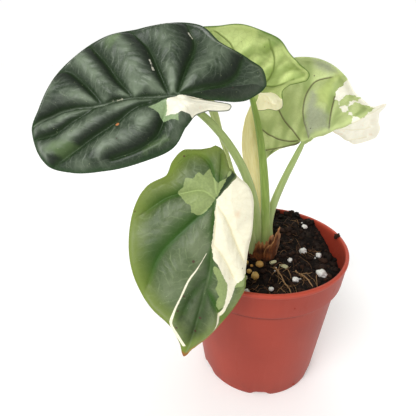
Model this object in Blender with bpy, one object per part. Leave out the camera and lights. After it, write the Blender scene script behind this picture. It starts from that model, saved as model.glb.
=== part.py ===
"""A small variegated alocasia in a nursery pot, built as separate closed pieces.

Every size below is in millimetres; finish() turns the meshes into metres.
The pot stands on z = 0 with its axis on the Z axis, and the plant's front faces -Y.
"""

from math import atan2, cos, hypot, pi, radians, sin, sqrt

import bmesh
import bpy
import numpy as np
from mathutils import Matrix, Vector, noise

MM = 0.001
CLEARANCE = 0.3

# Pot: a thin-walled tapered cup with a wider collar round its mouth.
POT_HEIGHT = 58.0
POT_RIM_RADIUS = 32.5
POT_BASE_RADIUS = 24.7
POT_WALL = 1.1
COLLAR_HEIGHT = 11.0
COLLAR_STEP = 1.9
COLLAR_DRAFT = 0.7
NOTCH_COUNT = 6
NOTCH_RADIUS = 2.2
NOTCH_FIRST_ANGLE = radians(-94)

# Soil: its level at the plant, its rise towards the back rim and its fall towards the front and right.
SOIL_DROP = 6.0
SOIL_BACK_RISE = 4.5
SOIL_FRONT_FALL = 2.4
SOIL_BUMP = 1.2
SOIL_Z = POT_HEIGHT - SOIL_DROP

# Stem base: the short stem that every stalk rises from, and its dry papery sheath.
STALK_RADIUS = 1.7
STALK_PITCH = 2 * STALK_RADIUS + CLEARANCE
STEM_HEIGHT = 5.0
STEM_CENTRE = (-0.1 * STALK_PITCH, 0.75 * STALK_PITCH)
STEM_RADII = (1.5 * STALK_PITCH, 1.8 * STALK_PITCH)
FOOT_SLANT = 0.45 * STALK_RADIUS
STALK_Z = SOIL_Z + CLEARANCE + STEM_HEIGHT + CLEARANCE + FOOT_SLANT
SHEATH_THICKNESS = 0.6

# Blades.
BLADE_THICKNESS = 0.7
BLADE_CELLS = 20
STALK_TIP_RADIUS = 0.6
STALK_SIDES = 8
STALK_STEPS = 13

COLOURS = {
    "terracotta": (0.44, 0.075, 0.045, 0.45),
    "soil": (0.022, 0.014, 0.010, 0.95),
    "dark_leaf": (0.035, 0.075, 0.040, 0.40),
    "green_leaf": (0.10, 0.20, 0.06, 0.45),
    "pale_leaf": (0.30, 0.42, 0.10, 0.50),
    "stalk": (0.36, 0.45, 0.13, 0.45),
    "stem": (0.30, 0.26, 0.10, 0.60),
    "young_leaf": (0.70, 0.62, 0.22, 0.50),
    "sheath": (0.20, 0.07, 0.03, 0.80),
    "perlite": (0.80, 0.79, 0.76, 0.90),
    "pellet": (0.72, 0.45, 0.14, 0.50),
    "bark": (0.10, 0.045, 0.022, 0.90),
    "root": (0.40, 0.24, 0.13, 0.80),
}

# Each blade lies in a flat sheet with x from its stalk towards the tip and y to its left.
# outline: points round the margin, counter-clockwise, starting at the tip.
# fold: how far each half rises from the sheet, at the lobes and at the tip, in degrees;
# fold_from and fold_to are the x between which it changes. curl and droop are in degrees per mm.
BLADES = {
    "blade_left": {
        "colour": "dark_leaf",
        "junction": (-31.0, -6.5, 63.4),
        "tip_way": (-0.98, -0.08, -0.14),
        "face_way": (-0.22, -0.78, 0.62),
        "left_fold": (-32, 0),
        "right_fold": (0, 0),
        "fold_from": -9,
        "fold_to": 1,
        "left_curl": -0.34,
        "right_curl": -0.11,
        "tip_droop": 0.23,
        "lobe_droop": 0.46,
        "outline": [
            (48, 0), (47, 7), (44, 13), (36, 17.5), (25, 19.5), (12, 19), (3, 17), (-1.5, 12), (-6, 8.5),
            (-12, 9.5), (-15.5, 8.5), (-15.5, 6.2), (-5, 1.8), (-12, 3.6), (-18, 3.8), (-25, 2), (-30, -2),
            (-30, -6), (-26, -10.5),
            (-18, -18), (-12, -26), (-4, -28.5), (8, -28.5), (20, -28), (30, -24), (39, -17), (45, -7),
        ],
    },
    "blade_front": {
        "colour": "green_leaf",
        "junction": (-19.4, -29.0, 38.1),
        "tip_way": (-0.10, -0.56, -0.82),
        "face_way": (0.30, -0.74, 0.60),
        "left_fold": (-13, -13),
        "right_fold": (-13, -13),
        "fold_from": -5,
        "fold_to": 10,
        "left_curl": -0.57,
        "right_curl": -0.69,
        "tip_droop": 0.52,
        "lobe_droop": 1.15,
        "outline": [
            (47, -2.5), (44, -0.5), (41, 3.5), (36, 8.5), (31, 13), (26, 15.5), (20, 14.5), (12, 14.5), (5, 15.5),
            (-2, 14.5), (-7, 12), (-9.5, 8.5), (-11, 5), (-15, 3.5), (-17, 1), (-16.5, -5), (-16, -10), (-12, -13),
            (-7, -14.5), (-3, -20), (4, -23.5), (14, -24), (27, -20), (34, -14.5), (38, -8.5), (43, -4.5),
        ],
    },
    "blade_back": {
        "colour": "pale_leaf",
        "junction": (-4.5, 20.0, 62.4),
        "tip_way": (-0.90, 0.30, 0.12),
        "face_way": (0.28, 0.86, 0.42),
        "left_fold": (5, 5),
        "right_fold": (11, 52),
        "fold_from": -8,
        "fold_to": 6,
        "left_curl": 0,
        "right_curl": 0,
        "tip_droop": 0.46,
        "lobe_droop": 0.34,
        "outline": [
            (45, 0), (43, 6), (36, 14), (28, 19), (21, 21), (11, 21.5), (4, 22), (-3, 21), (-8, 19),
            (-12, 15.5), (-17, 13), (-21, 10.5), (-20.5, 7.5), (-15, 4.5), (-12.5, 0.5), (-13.5, -5),
            (-11, -10.5), (-7, -10), (-3, -11), (5, -14), (15, -17), (27, -15), (37, -9),
        ],
    },
    "blade_right": {
        "colour": "pale_leaf",
        "junction": (20.8, 30.0, 39.3),
        "tip_way": (0.70, -0.50, 0.47),
        "face_way": (0.05, 0.70, 0.69),
        "left_fold": (75, 6),
        "right_fold": (22, 22),
        "fold_from": 3,
        "fold_to": 14,
        "left_curl": -0.23,
        "right_curl": 0.23,
        "tip_droop": -0.34,
        "lobe_droop": 0.57,
        "outline": [
            (34, 3), (30, 7), (28, 12), (26.5, 18), (23, 23), (18, 23), (10, 20), (2, 17), (-5, 13), (-10, 9),
            (-10, 3.5), (-15, 0.5), (-20, 1), (-22, -4), (-19, -11), (-14, -18), (-7, -25), (1, -29),
            (9, -32), (17, -33), (22, -29.5), (26, -24), (28, -17), (28, -8), (29.5, -1),
        ],
    },
}

# Stalks: foot on the stem in stalk pitches, then the two handles of a Bezier route.
# rise is taken from the foot and arrive from the junction under the blade.
STALKS = {
    "stalk_left": {
        "blade": "blade_left", "foot": (-0.60, 0.22), "rise": (1.0, 1.0, 26.0), "arrive": (14.0, 3.3, -7.4),
    },
    "stalk_front": {
        "blade": "blade_front", "foot": (-1.20, -0.60), "rise": (-1.6, -3.8, 18.0), "arrive": (-2.4, 6.5, -4.5),
    },
    "stalk_back": {
        "blade": "blade_back", "foot": (0.43, 0.54), "rise": (0.2, 6.0, 21.0), "arrive": (4.8, -5.5, -15.4),
    },
    "stalk_right": {
        "blade": "blade_right", "foot": (0.95, 1.70), "rise": (-1.0, 4.0, 9.0), "arrive": (-7.0, -8.0, -11.0),
    },
}
THIN_LEAF = {
    "foot": (-0.92, 1.05), "rise": (-6.0, 1.4, 20.0), "arrive": (5.4, -1.0, -18.0), "end": (-22.5, 8.2, 68.0),
    "radii": (0.95, 0.9, 0.85, 0.85, 0.85, 0.85, 0.85, 0.9, 1.1, 1.5, 1.6, 1.1, 0.4),
}
FURLED_LEAF = {
    "foot": (-0.10, 2.35), "rise": (1.6, 3.5, 18.0), "arrive": (-0.8, -3.0, -20.0), "end": (-5.0, 22.0, 53.5),
    "radii": (1.6, 1.6, 1.6, 1.7, 2.0, 2.5, 3.0, 3.4, 3.6, 3.3, 2.5, 1.5, 0.4),
}

# Loose pieces: where they lie on the soil as a share of the soil's radius and a direction, and their radius.
PERLITE = [
    (0.80, -29, 1.9), (0.85, 35, 1.2), (0.62, 14, 1.5), (0.80, 4, 1.2), (0.60, -55, 1.3), (0.64, -88, 0.9),
    (0.38, -22, 1.0), (0.70, 80, 1.0), (0.74, -112, 1.2),
]
PELLETS = [(0.26, -104, 1.5), (0.46, -108, 1.6), (0.32, -151, 1.1)]
BARK = [(0.60, 58, 2.6), (0.76, 150, 2.8), (0.82, -152, 2.4)]
ROOTS = [((0.34, -62), (0.58, -84), (0.72, -70)), ((0.50, -34), (0.62, -46), (0.80, -50))]
ROOT_RADIUS = 0.45


def clear_scene():
    """Empty the scene of its objects."""
    for item in list(bpy.data.objects):
        bpy.data.objects.remove(item, do_unlink=True)


def material(name):
    """The material called name, a Principled BSDF with its colour and roughness."""
    made = bpy.data.materials.get(name)
    if made:
        return made
    red, green, blue, rough = COLOURS[name]
    made = bpy.data.materials.new(name)
    made.use_nodes = True
    shader = made.node_tree.nodes["Principled BSDF"]
    shader.inputs["Base Color"].default_value = (red, green, blue, 1)
    shader.inputs["Roughness"].default_value = rough
    made.diffuse_color = (red, green, blue, 1)
    return made


def finish(name, bm, colour):
    """Make the object called name from a mesh in millimetres."""
    bmesh.ops.scale(bm, vec=(MM, MM, MM), verts=bm.verts)
    bmesh.ops.recalc_face_normals(bm, faces=bm.faces)
    mesh = bpy.data.meshes.new(name)
    bm.to_mesh(mesh)
    bm.free()
    mesh.shade_smooth()
    mesh.set_sharp_from_angle(angle=radians(40))
    mesh.materials.append(material(colour))
    item = bpy.data.objects.new(name, mesh)
    bpy.context.scene.collection.objects.link(item)
    return item


def smooth_step(value, low, high):
    """0 below low, 1 above high, with a smooth change between them."""
    share = np.clip((value - low) / (high - low), 0, 1)
    return share * share * (3 - 2 * share)


# ---------------------------------------------------------------- pot and soil


def pot_inner_profile():
    """Points (radius, z) up the pot's inner wall, from its floor to its mouth."""
    mouth = POT_RIM_RADIUS - POT_WALL
    ledge = POT_HEIGHT - COLLAR_HEIGHT
    above = mouth - COLLAR_DRAFT
    return [
        (POT_BASE_RADIUS - POT_WALL, POT_WALL),
        (above - COLLAR_STEP, ledge - COLLAR_STEP),
        (above, ledge),
        (mouth, POT_HEIGHT),
    ]


def pot_inner_radius(z):
    """The pot's inner radius at height z."""
    profile = pot_inner_profile()
    return float(np.interp(z, [point[1] for point in profile], [point[0] for point in profile]))


def pot():
    """The cup: its profile spun about Z, with drain notches cut into the foot of the wall."""
    inner = pot_inner_profile()
    ledge = POT_HEIGHT - COLLAR_HEIGHT
    rim = POT_RIM_RADIUS
    lip = 0.35 * POT_WALL
    below = rim - COLLAR_DRAFT
    outer = [
        (0, 0),
        (POT_BASE_RADIUS - lip, 0),
        (POT_BASE_RADIUS, lip),
        (below - COLLAR_STEP, ledge - lip),
        (below - lip, ledge - lip),
        (below, ledge),
        (rim, POT_HEIGHT - lip),
        (rim - lip, POT_HEIGHT),
    ]
    profile = outer + [(inner[3][0] + lip, POT_HEIGHT), (inner[3][0], POT_HEIGHT - lip)]
    profile += [inner[2], inner[1], inner[0], (0, POT_WALL)]
    bm = bmesh.new()
    points = [bm.verts.new((radius, 0, z)) for radius, z in profile]
    edges = [bm.edges.new(pair) for pair in zip(points, points[1:])]
    bmesh.ops.spin(
        bm, geom=points + edges, cent=(0, 0, 0), axis=(0, 0, 1), angle=2 * pi, steps=48, use_merge=True
    )
    bmesh.ops.remove_doubles(bm, verts=bm.verts, dist=0.01)
    item = finish("pot", bm, "terracotta")
    cutter = notch_cutter()
    cut = item.modifiers.new("notches", "BOOLEAN")
    cut.object = cutter
    cut.operation = "DIFFERENCE"
    return item


def notch_cutter():
    """Short bars lying across the foot of the wall, one for each drain notch."""
    bm = bmesh.new()
    for index in range(NOTCH_COUNT):
        angle = NOTCH_FIRST_ANGLE + index * 2 * pi / NOTCH_COUNT
        place = Matrix.Rotation(angle, 4, "Z") @ Matrix.Translation((POT_BASE_RADIUS, 0, 0))
        place = place @ Matrix.Rotation(pi / 2, 4, "Y")
        bmesh.ops.create_cone(
            bm, cap_ends=True, segments=12, radius1=NOTCH_RADIUS, radius2=NOTCH_RADIUS,
            depth=6 * POT_WALL, matrix=place,
        )
    cutter = finish("notch_cutter", bm, "terracotta")
    cutter.hide_render = True
    cutter.display_type = "WIRE"
    return cutter


def soil_height(x, y):
    """The soil's level at (x, y): flat round the stem, bumpy away from it, higher at the back."""
    out = hypot(x - STEM_CENTRE[0], y - STEM_CENTRE[1]) / POT_RIM_RADIUS
    away = float(smooth_step(out, 0.3, 0.6))
    slope = (0.75 * y - 0.66 * x) / POT_RIM_RADIUS
    back = float(smooth_step(slope, 0.1, 0.8))
    front = float(smooth_step(-slope, -0.2, 0.5))
    bump = noise.noise(Vector((x * 0.16, y * 0.16, 3.7)))
    return SOIL_Z + away * (SOIL_BUMP * (bump - 0.3) + SOIL_BACK_RISE * back - SOIL_FRONT_FALL * front)


def disc_share(u, v):
    """Where a square's point (u, v) falls on the unit disc, with no seam or pole."""
    return u * sqrt(1 - v * v / 2), v * sqrt(1 - u * u / 2)


def soil():
    """The soil: a disc with an uneven top that fills the pot to just short of its wall."""
    bm = bmesh.new()
    bmesh.ops.create_grid(bm, x_segments=16, y_segments=16, size=1)
    for vert in bm.verts:
        a, b = disc_share(vert.co.x, vert.co.y)
        radius = pot_inner_radius(SOIL_Z) - 2 * CLEARANCE
        z = soil_height(a * radius, b * radius)
        radius = pot_inner_radius(z) - 2 * CLEARANCE
        vert.co = (a * radius, b * radius, z)
    levels = [POT_HEIGHT - COLLAR_HEIGHT, POT_HEIGHT - COLLAR_HEIGHT - COLLAR_STEP, POT_WALL + CLEARANCE]
    edges = [edge for edge in bm.edges if edge.is_boundary]
    for z in levels:
        grown = bmesh.ops.extrude_edge_only(bm, edges=edges)["geom"]
        edges = [item for item in grown if isinstance(item, bmesh.types.BMEdge)]
        radius = pot_inner_radius(z) - 2 * CLEARANCE
        for vert in (item for item in grown if isinstance(item, bmesh.types.BMVert)):
            angle = atan2(vert.co.y, vert.co.x)
            vert.co = (radius * cos(angle), radius * sin(angle), z)
    bmesh.ops.contextual_create(bm, geom=edges)
    return finish("soil", bm, "soil")


# ---------------------------------------------------------------- stem, sheath and stalks


def stem_point(angle, grow, z):
    """A point round the stem's oval at a level, grow outside its side."""
    return Vector((
        STEM_CENTRE[0] + (STEM_RADII[0] + grow) * cos(angle),
        STEM_CENTRE[1] + (STEM_RADII[1] + grow) * sin(angle),
        z,
    ))


def stem_base():
    """The short oval stem that stands on the soil and carries the stalks."""
    bm = bmesh.new()
    foot = SOIL_Z + CLEARANCE
    bmesh.ops.create_cone(bm, cap_ends=True, segments=24, radius1=1, radius2=1, depth=1)
    for vert in bm.verts:
        top = vert.co.z > 0
        angle = atan2(vert.co.y, vert.co.x)
        vert.co = stem_point(angle, -0.1 * STALK_PITCH if top else 0, foot + STEM_HEIGHT * top)
    return finish("stem_base", bm, "stem")


def sheath():
    """The papery brown sheath wrapped round the right and front of the stem, ragged on top."""
    bm = bmesh.new()
    bmesh.ops.create_grid(bm, x_segments=18, y_segments=4, size=1)
    grow = 2 * CLEARANCE + SHEATH_THICKNESS
    for vert in bm.verts:
        along = (vert.co.x + 1) / 2
        up = (vert.co.y + 1) / 2
        angle = radians(-75 + 125 * along)
        ragged = 0.62 + 0.2 * sin(11 * along) + 0.18 * cos(23 * along)
        height = STEM_HEIGHT * ragged * sqrt(max(0.05, sin(pi * (0.04 + 0.92 * along))))
        z = SOIL_Z + CLEARANCE + up * height
        vert.co = stem_point(angle, grow + 1.2 * up * up * along, z)
    item = finish("sheath", bm, "sheath")
    shell = item.modifiers.new("thickness", "SOLIDIFY")
    shell.thickness = SHEATH_THICKNESS * MM
    shell.offset = 0
    return item


def bezier(start, first, last, end, share):
    """The point at a share of the way along a cubic Bezier curve."""
    rest = 1 - share
    return (
        start * rest ** 3 + first * (3 * rest * rest * share) + last * (3 * rest * share * share) + end * share ** 3
    )


def tube(name, route, radii, colour):
    """A round stalk along a route, as a curve with a bevel and filled caps."""
    curve = bpy.data.curves.new(name, "CURVE")
    curve.dimensions = "3D"
    curve.bevel_depth = MM
    curve.bevel_resolution = STALK_SIDES // 4
    curve.use_fill_caps = True
    line = curve.splines.new("POLY")
    line.points.add(len(route) - 1)
    for point, place, radius in zip(line.points, route, radii):
        point.co = (place * MM).to_4d()
        point.radius = radius
    curve.materials.append(material(colour))
    item = bpy.data.objects.new(name, curve)
    bpy.context.scene.collection.objects.link(item)
    return item


def foot_point(foot):
    """Where a stalk stands on the stem, from its place in stalk pitches."""
    return Vector((foot[0] * STALK_PITCH, foot[1] * STALK_PITCH, STALK_Z))


def stalk_route(shape, end, arrive_from):
    """Points along a stalk, from its foot to end."""
    start = foot_point(shape["foot"])
    first = start + Vector(shape["rise"])
    last = arrive_from + Vector(shape["arrive"])
    shares = [index / (STALK_STEPS - 1) for index in range(STALK_STEPS)]
    return [bezier(start, first, last, end, share) for share in shares]


def stalk(name, shape):
    """One leaf stalk, ending just under its blade."""
    blade = BLADES[shape["blade"]]
    junction = blade_junction(blade)
    under = junction - blade_frame(blade).col[2] * (BLADE_THICKNESS / 2 + CLEARANCE + STALK_TIP_RADIUS)
    route = stalk_route(shape, under, junction)
    radii = []
    for index in range(STALK_STEPS):
        share = index / (STALK_STEPS - 1)
        taper = 1 - 0.28 * share
        narrow = 1 if index < STALK_STEPS - 1 else STALK_TIP_RADIUS / (STALK_RADIUS * taper)
        radii.append(STALK_RADIUS * taper * narrow)
    return tube(name, route, radii, "stalk")


def rolled_leaf(name, shape, colour):
    """A young leaf that is still rolled up: a stalk that swells and then closes to a point."""
    end = Vector(shape["end"]) + Vector((0, 0, SOIL_Z))
    share = STALK_RADIUS / 1.7
    return tube(name, stalk_route(shape, end, end), [radius * share for radius in shape["radii"]], colour)


# ---------------------------------------------------------------- blades


def blade_junction(blade):
    """Where the stalk meets the blade."""
    return Vector(blade["junction"]) + Vector((0, 0, SOIL_Z))


def blade_frame(blade):
    """Columns: towards the tip, to the left, and out of the upper face."""
    tip = Vector(blade["tip_way"]).normalized()
    face = Vector(blade["face_way"])
    face = (face - tip * face.dot(tip)).normalized()
    return Matrix((tip, face.cross(tip), face)).transposed()


def margin_radius(outline, angles):
    """The margin's distance from the junction in each direction, smooth through the outline."""
    turn = np.array([atan2(y, x) % (2 * pi) for x, y in outline])
    reach = np.array([hypot(x, y) for x, y in outline])
    order = np.argsort(turn)
    turn = turn[order]
    reach = reach[order]
    turn = np.concatenate([turn[-3:] - 2 * pi, turn, turn[:3] + 2 * pi])
    reach = np.concatenate([reach[-3:], reach, reach[:3]])
    gap = np.diff(turn)
    slope = np.diff(reach) / gap
    bend = np.zeros_like(reach)
    same = slope[1:] * slope[:-1] > 0
    first = 2 * gap[1:] + gap[:-1]
    last = gap[1:] + 2 * gap[:-1]
    safe = np.where(same, slope[:-1], 1)
    safe_next = np.where(same, slope[1:], 1)
    bend[1:-1] = np.where(same, (first + last) / (first / safe + last / safe_next), 0)
    angles = np.asarray(angles) % (2 * pi)
    spot = np.clip(np.searchsorted(turn, angles) - 1, 0, len(gap) - 1)
    t = (angles - turn[spot]) / gap[spot]
    rise = (3 - 2 * t) * t * t
    return (
        reach[spot] * (1 - rise) + reach[spot + 1] * rise
        + gap[spot] * t * (1 - t) * ((1 - t) * bend[spot] - t * bend[spot + 1])
    )


def arc(start, rate, run):
    """How far a line goes along and up over run, when its slope starts at start and turns at rate."""
    if abs(rate) < 1e-6:
        return run * cos(start), run * sin(start)
    end = start + rate * run
    return (sin(end) - sin(start)) / rate, (cos(start) - cos(end)) / rate


def bend_blade(blade, x, y):
    """Where a flat blade's point goes once its halves are folded and curled and its midrib droops."""
    side = "left" if y > 0 else "right"
    lobe_fold, tip_fold = blade[side + "_fold"]
    share = float(smooth_step(x, blade["fold_from"], blade["fold_to"]))
    fold = radians(lobe_fold + (tip_fold - lobe_fold) * share)
    across, up = arc(fold, radians(blade[side + "_curl"]), abs(y))
    droop = radians(blade["tip_droop" if x > 0 else "lobe_droop"])
    along, fall = arc(0, droop if x > 0 else -droop, abs(x))
    tilt = droop * x
    along = along if x > 0 else -along
    fall = fall if x > 0 else -fall
    return Vector((along + up * sin(tilt), across if y > 0 else -across, up * cos(tilt) - fall))


def blade(name, shape):
    """One blade: a square grid laid out over its outline, bent, placed and given its thickness."""
    bm = bmesh.new()
    bmesh.ops.create_grid(bm, x_segments=BLADE_CELLS, y_segments=BLADE_CELLS, size=1)
    share = [disc_share(vert.co.x, vert.co.y) for vert in bm.verts]
    reach = margin_radius(shape["outline"], [atan2(b, a) for a, b in share])
    frame = blade_frame(shape)
    junction = blade_junction(shape)
    for vert, (a, b), radius in zip(bm.verts, share, reach):
        vert.co = junction + frame @ bend_blade(shape, a * radius, b * radius)
    item = finish(name, bm, shape["colour"])
    shell = item.modifiers.new("thickness", "SOLIDIFY")
    shell.thickness = BLADE_THICKNESS * MM
    shell.offset = 0
    return item


# ---------------------------------------------------------------- loose pieces


def soil_place(share, direction, lift):
    """A point above the soil, from its share of the soil's radius and its direction in degrees."""
    radius = share * (pot_inner_radius(SOIL_Z) - 2 * CLEARANCE)
    x = radius * cos(radians(direction))
    y = radius * sin(radians(direction))
    near = [soil_height(x + dx, y + dy) for dx in (-2.5, 0, 2.5) for dy in (-2.5, 0, 2.5)]
    return Vector((x, y, max(near) + CLEARANCE + lift))


def pebble(name, spot, squash, rough, colour, seed):
    """A small rounded lump lying on the soil."""
    share, direction, radius = spot
    bm = bmesh.new()
    bmesh.ops.create_icosphere(bm, subdivisions=2, radius=radius)
    for vert in bm.verts:
        grain = noise.noise(vert.co / radius * 1.3 + Vector((seed, 2 * seed, 0)))
        vert.co *= 1 + rough * grain
        vert.co.z *= squash
    bmesh.ops.translate(bm, verts=bm.verts, vec=soil_place(share, direction, radius * squash * (1 + rough)))
    return finish(name, bm, colour)


def bark_chip(name, spot, seed):
    """A flat sliver of bark lying on the soil."""
    share, direction, length = spot
    bm = bmesh.new()
    bmesh.ops.create_cube(bm, size=2)
    bmesh.ops.subdivide_edges(bm, edges=bm.edges, cuts=2, use_grid_fill=True)
    size = Vector((length, 0.45 * length, 0.22 * length))
    for vert in bm.verts:
        grain = 1 + 0.35 * noise.noise(vert.co + Vector((seed, 0, seed)))
        vert.co = Vector(part * reach * grain for part, reach in zip(vert.co, size))
    place = Matrix.Translation(soil_place(share, direction, 0.36 * length))
    turn = Matrix.Rotation(radians(direction + 70 + 25 * seed), 4, "Z")
    bmesh.ops.transform(bm, verts=bm.verts, matrix=place @ turn)
    return finish(name, bm, "bark")


def surface_root(name, stops):
    """A thin bare root arching over the soil through three places."""
    start, middle, end = (soil_place(share, direction, ROOT_RADIUS) for share, direction in stops)
    middle.z += 3 * ROOT_RADIUS
    shares = [index / 8 for index in range(9)]
    route = [start.lerp(middle, share).lerp(middle.lerp(end, share), share) for share in shares]
    return tube(name, route, [ROOT_RADIUS * (1 - 0.4 * share) for share in shares], "root")


def main():
    """Build every piece."""
    clear_scene()
    pot()
    soil()
    stem_base()
    sheath()
    for name, shape in STALKS.items():
        stalk(name, shape)
    for name, shape in BLADES.items():
        blade(name, shape)
    rolled_leaf("thin_young_leaf", THIN_LEAF, "stalk")
    rolled_leaf("furled_leaf", FURLED_LEAF, "young_leaf")
    for index, spot in enumerate(PERLITE):
        pebble(f"perlite_{index + 1}", spot, 0.8, 0.25, "perlite", index)
    for index, spot in enumerate(PELLETS):
        pebble(f"pellet_{index + 1}", spot, 0.9, 0.06, "pellet", 20 + index)
    for index, spot in enumerate(BARK):
        bark_chip(f"bark_{index + 1}", spot, index)
    for index, stops in enumerate(ROOTS):
        surface_root(f"root_{index + 1}", stops)


main()
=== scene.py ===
"""Looks of a small variegated alocasia in a nursery pot, built round its CAD frame.

Sizes are in millimetres until a piece is finished, and in metres from then on.
A blade is laid out flat, x from its stalk to its tip and y to its left, then bent and placed.
"""

from math import atan2, cos, hypot, pi, radians, sin
from random import Random

import bmesh
import bpy
import numpy as np
from mathutils import Matrix, Vector, noise


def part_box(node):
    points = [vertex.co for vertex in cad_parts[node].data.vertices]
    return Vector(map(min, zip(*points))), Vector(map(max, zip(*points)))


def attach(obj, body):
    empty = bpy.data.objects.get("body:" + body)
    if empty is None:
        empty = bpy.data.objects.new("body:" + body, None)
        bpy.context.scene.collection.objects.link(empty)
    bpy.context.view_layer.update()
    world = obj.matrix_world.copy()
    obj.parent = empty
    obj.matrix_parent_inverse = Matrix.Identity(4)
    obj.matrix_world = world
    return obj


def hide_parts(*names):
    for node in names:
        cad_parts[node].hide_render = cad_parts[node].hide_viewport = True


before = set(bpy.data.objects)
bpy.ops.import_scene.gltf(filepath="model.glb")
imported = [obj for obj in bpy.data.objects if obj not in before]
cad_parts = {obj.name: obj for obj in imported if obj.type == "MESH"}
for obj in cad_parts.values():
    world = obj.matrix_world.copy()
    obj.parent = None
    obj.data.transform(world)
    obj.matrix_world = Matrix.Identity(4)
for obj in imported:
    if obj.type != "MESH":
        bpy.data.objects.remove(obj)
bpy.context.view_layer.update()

MM = 0.001
BODY = "root"

# The camera: its lens in millimetres, its place in metres, and how far it looks down and leans, in degrees.
LENS_LENGTH = 29.34
EYE_PLACE = (-0.0215, -0.1167, 0.1294)
EYE_DOWN = 25.6
EYE_ROLL = -1.1

# Pot and soil, as in the CAD.
POT_HEIGHT = 58.0
POT_RIM_RADIUS = 32.5
POT_BASE_RADIUS = 24.7
POT_WALL = 1.1
COLLAR_HEIGHT = 11.0
COLLAR_STEP = 1.9
COLLAR_DRAFT = 0.7
# Height of the painted shadow line just under the collar.
COLLAR_SHADOW_Z = 46.4
NOTCH_COUNT = 6
NOTCH_RADIUS = 2.2
NOTCH_ZONE = 3.4
NOTCH_FIRST_ANGLE = radians(-94)
SOIL_Z = 52.0
SOIL_GAP = 0.25
SOIL_EDGE = 30.4
SOIL_BACK_RISE = 4.5
SOIL_FRONT_FALL = 2.4
SOIL_BUMP = 1.2
STEM_CENTRE = (-0.37, 2.78)
STEM_RADII = (5.55, 6.66)
STALK_PITCH = 3.7
STALK_Z = 58.365
BLADE_THICKNESS = 0.6
BLADE_CELLS = 200
FAR = 40.0  # beyond any blade's patterns, in millimetres


# ---------------------------------------------------------------- shader maths


class Socket:
    """An output in a material. Sums and products on it add the Math nodes they need."""

    def __init__(self, finish, link):
        self.finish = finish
        self.link = link

    def math(self, operation, *values):
        return self.finish.node("ShaderNodeMath", {"operation": operation}, dict(enumerate(values)))

    def __add__(self, other):
        return self.math("ADD", self, other)

    def __radd__(self, other):
        return self.math("ADD", other, self)

    def __sub__(self, other):
        return self.math("SUBTRACT", self, other)

    def __rsub__(self, other):
        return self.math("SUBTRACT", other, self)

    def __mul__(self, other):
        return self.math("MULTIPLY", self, other)

    def __rmul__(self, other):
        return self.math("MULTIPLY", other, self)

    def __truediv__(self, other):
        return self.math("DIVIDE", self, other)

    def high(self, other):
        """The larger of the two."""
        return self.math("MAXIMUM", self, other)

    def size(self):
        """Its value without a sign."""
        return self.math("ABSOLUTE", self)

    def part(self):
        """What is left above the whole number."""
        return self.math("FRACT", self)

    def step(self, start, end, low=0.0, high=1.0):
        """low below start and high above end, with a smooth change between them."""
        return self.finish.node(
            "ShaderNodeMapRange",
            {"interpolation_type": "SMOOTHSTEP"},
            {"Value": self, "From Min": start, "From Max": end, "To Min": low, "To Max": high},
        )


def tinted(colour, share):
    """A colour made darker or lighter."""
    return tuple(share * part for part in colour)


class Finish:
    """A material in the making. Its shader is a Principled BSDF."""

    def __init__(self, name, constants=None):
        self.material = bpy.data.materials.new(name)
        self.material.use_nodes = True
        self.nodes = self.material.node_tree.nodes
        self.links = self.material.node_tree.links
        self.shader = self.nodes["Principled BSDF"]
        for socket, value in (constants or {}).items():
            self.shader.inputs[socket].default_value = value

    def node(self, kind, settings=None, values=None, output=0):
        """Add a node: its settings first, then its sockets' values or links."""
        made = self.nodes.new(kind)
        for key, value in (settings or {}).items():
            setattr(made, key, value)
        for key, value in (values or {}).items():
            self.feed(made.inputs[key], value)
        return Socket(self, made.outputs[output])

    def feed(self, socket, value):
        """Give a socket a link or a value."""
        if isinstance(value, Socket):
            self.links.new(value.link, socket)
        elif isinstance(value, tuple) and len(value) == 3 and socket.type == "RGBA":
            socket.default_value = (*value, 1)
        else:
            socket.default_value = value

    def attribute(self, name, output="Fac"):
        """One of the piece's own measures."""
        return self.node("ShaderNodeAttribute", {"attribute_name": name}, output=output)

    def place(self):
        """Where a point is in the object, in metres."""
        return self.node("ShaderNodeTexCoord", output="Object")

    def stretched(self, place, x, y, z):
        """A place with its three parts made longer or shorter."""
        return self.node("ShaderNodeVectorMath", {"operation": "MULTIPLY"}, {0: place, 1: (x, y, z)})

    def noise(self, place, scale, detail=3.0, rough=0.55, distortion=0.0):
        """Cloudy noise from 0 to 1."""
        return self.node(
            "ShaderNodeTexNoise", {},
            {"Vector": place, "Scale": scale, "Detail": detail, "Roughness": rough, "Distortion": distortion},
            "Fac",
        )

    def cells(self, place, scale, feature="F1", output="Distance"):
        """Distances inside scattered cells."""
        return self.node("ShaderNodeTexVoronoi", {"feature": feature}, {"Vector": place, "Scale": scale}, output)

    def mix(self, share, first, last):
        """A colour between two colours."""
        return self.node("ShaderNodeMix", {"data_type": "RGBA"}, {0: share, 6: first, 7: last}, 2)

    def coats(self, colour, *coats):
        """A colour under more coats, each a share and a colour. One that lacks either is left out."""
        for share, coat in coats:
            if share and coat:
                colour = self.mix(share, colour, coat)
        return colour

    def blend(self, share, first, last):
        """A number between two numbers."""
        return self.node("ShaderNodeMix", {"data_type": "FLOAT"}, {0: share, 2: first, 3: last}, 0)

    def done(self, colour, rough, height, depth, strength=1.0):
        """Join the colour, roughness and relief to the shader. Where the finish has an emission strength, the colour
        also glows: a painted glow that stands in for light shining through.
        """
        self.feed(self.shader.inputs["Base Color"], colour)
        if self.shader.inputs["Emission Strength"].default_value > 0:
            self.feed(self.shader.inputs["Emission Color"], colour)
        self.feed(self.shader.inputs["Roughness"], rough)
        bump = self.node("ShaderNodeBump", {}, {"Height": height, "Distance": depth, "Strength": strength})
        self.feed(self.shader.inputs["Normal"], bump)
        return self.material


# ---------------------------------------------------------------- making pieces


def in_scene(name, data):
    """An object in the scene for a mesh, a light or a camera."""
    item = bpy.data.objects.new(name, data)
    bpy.context.scene.collection.objects.link(item)
    return item


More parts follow.
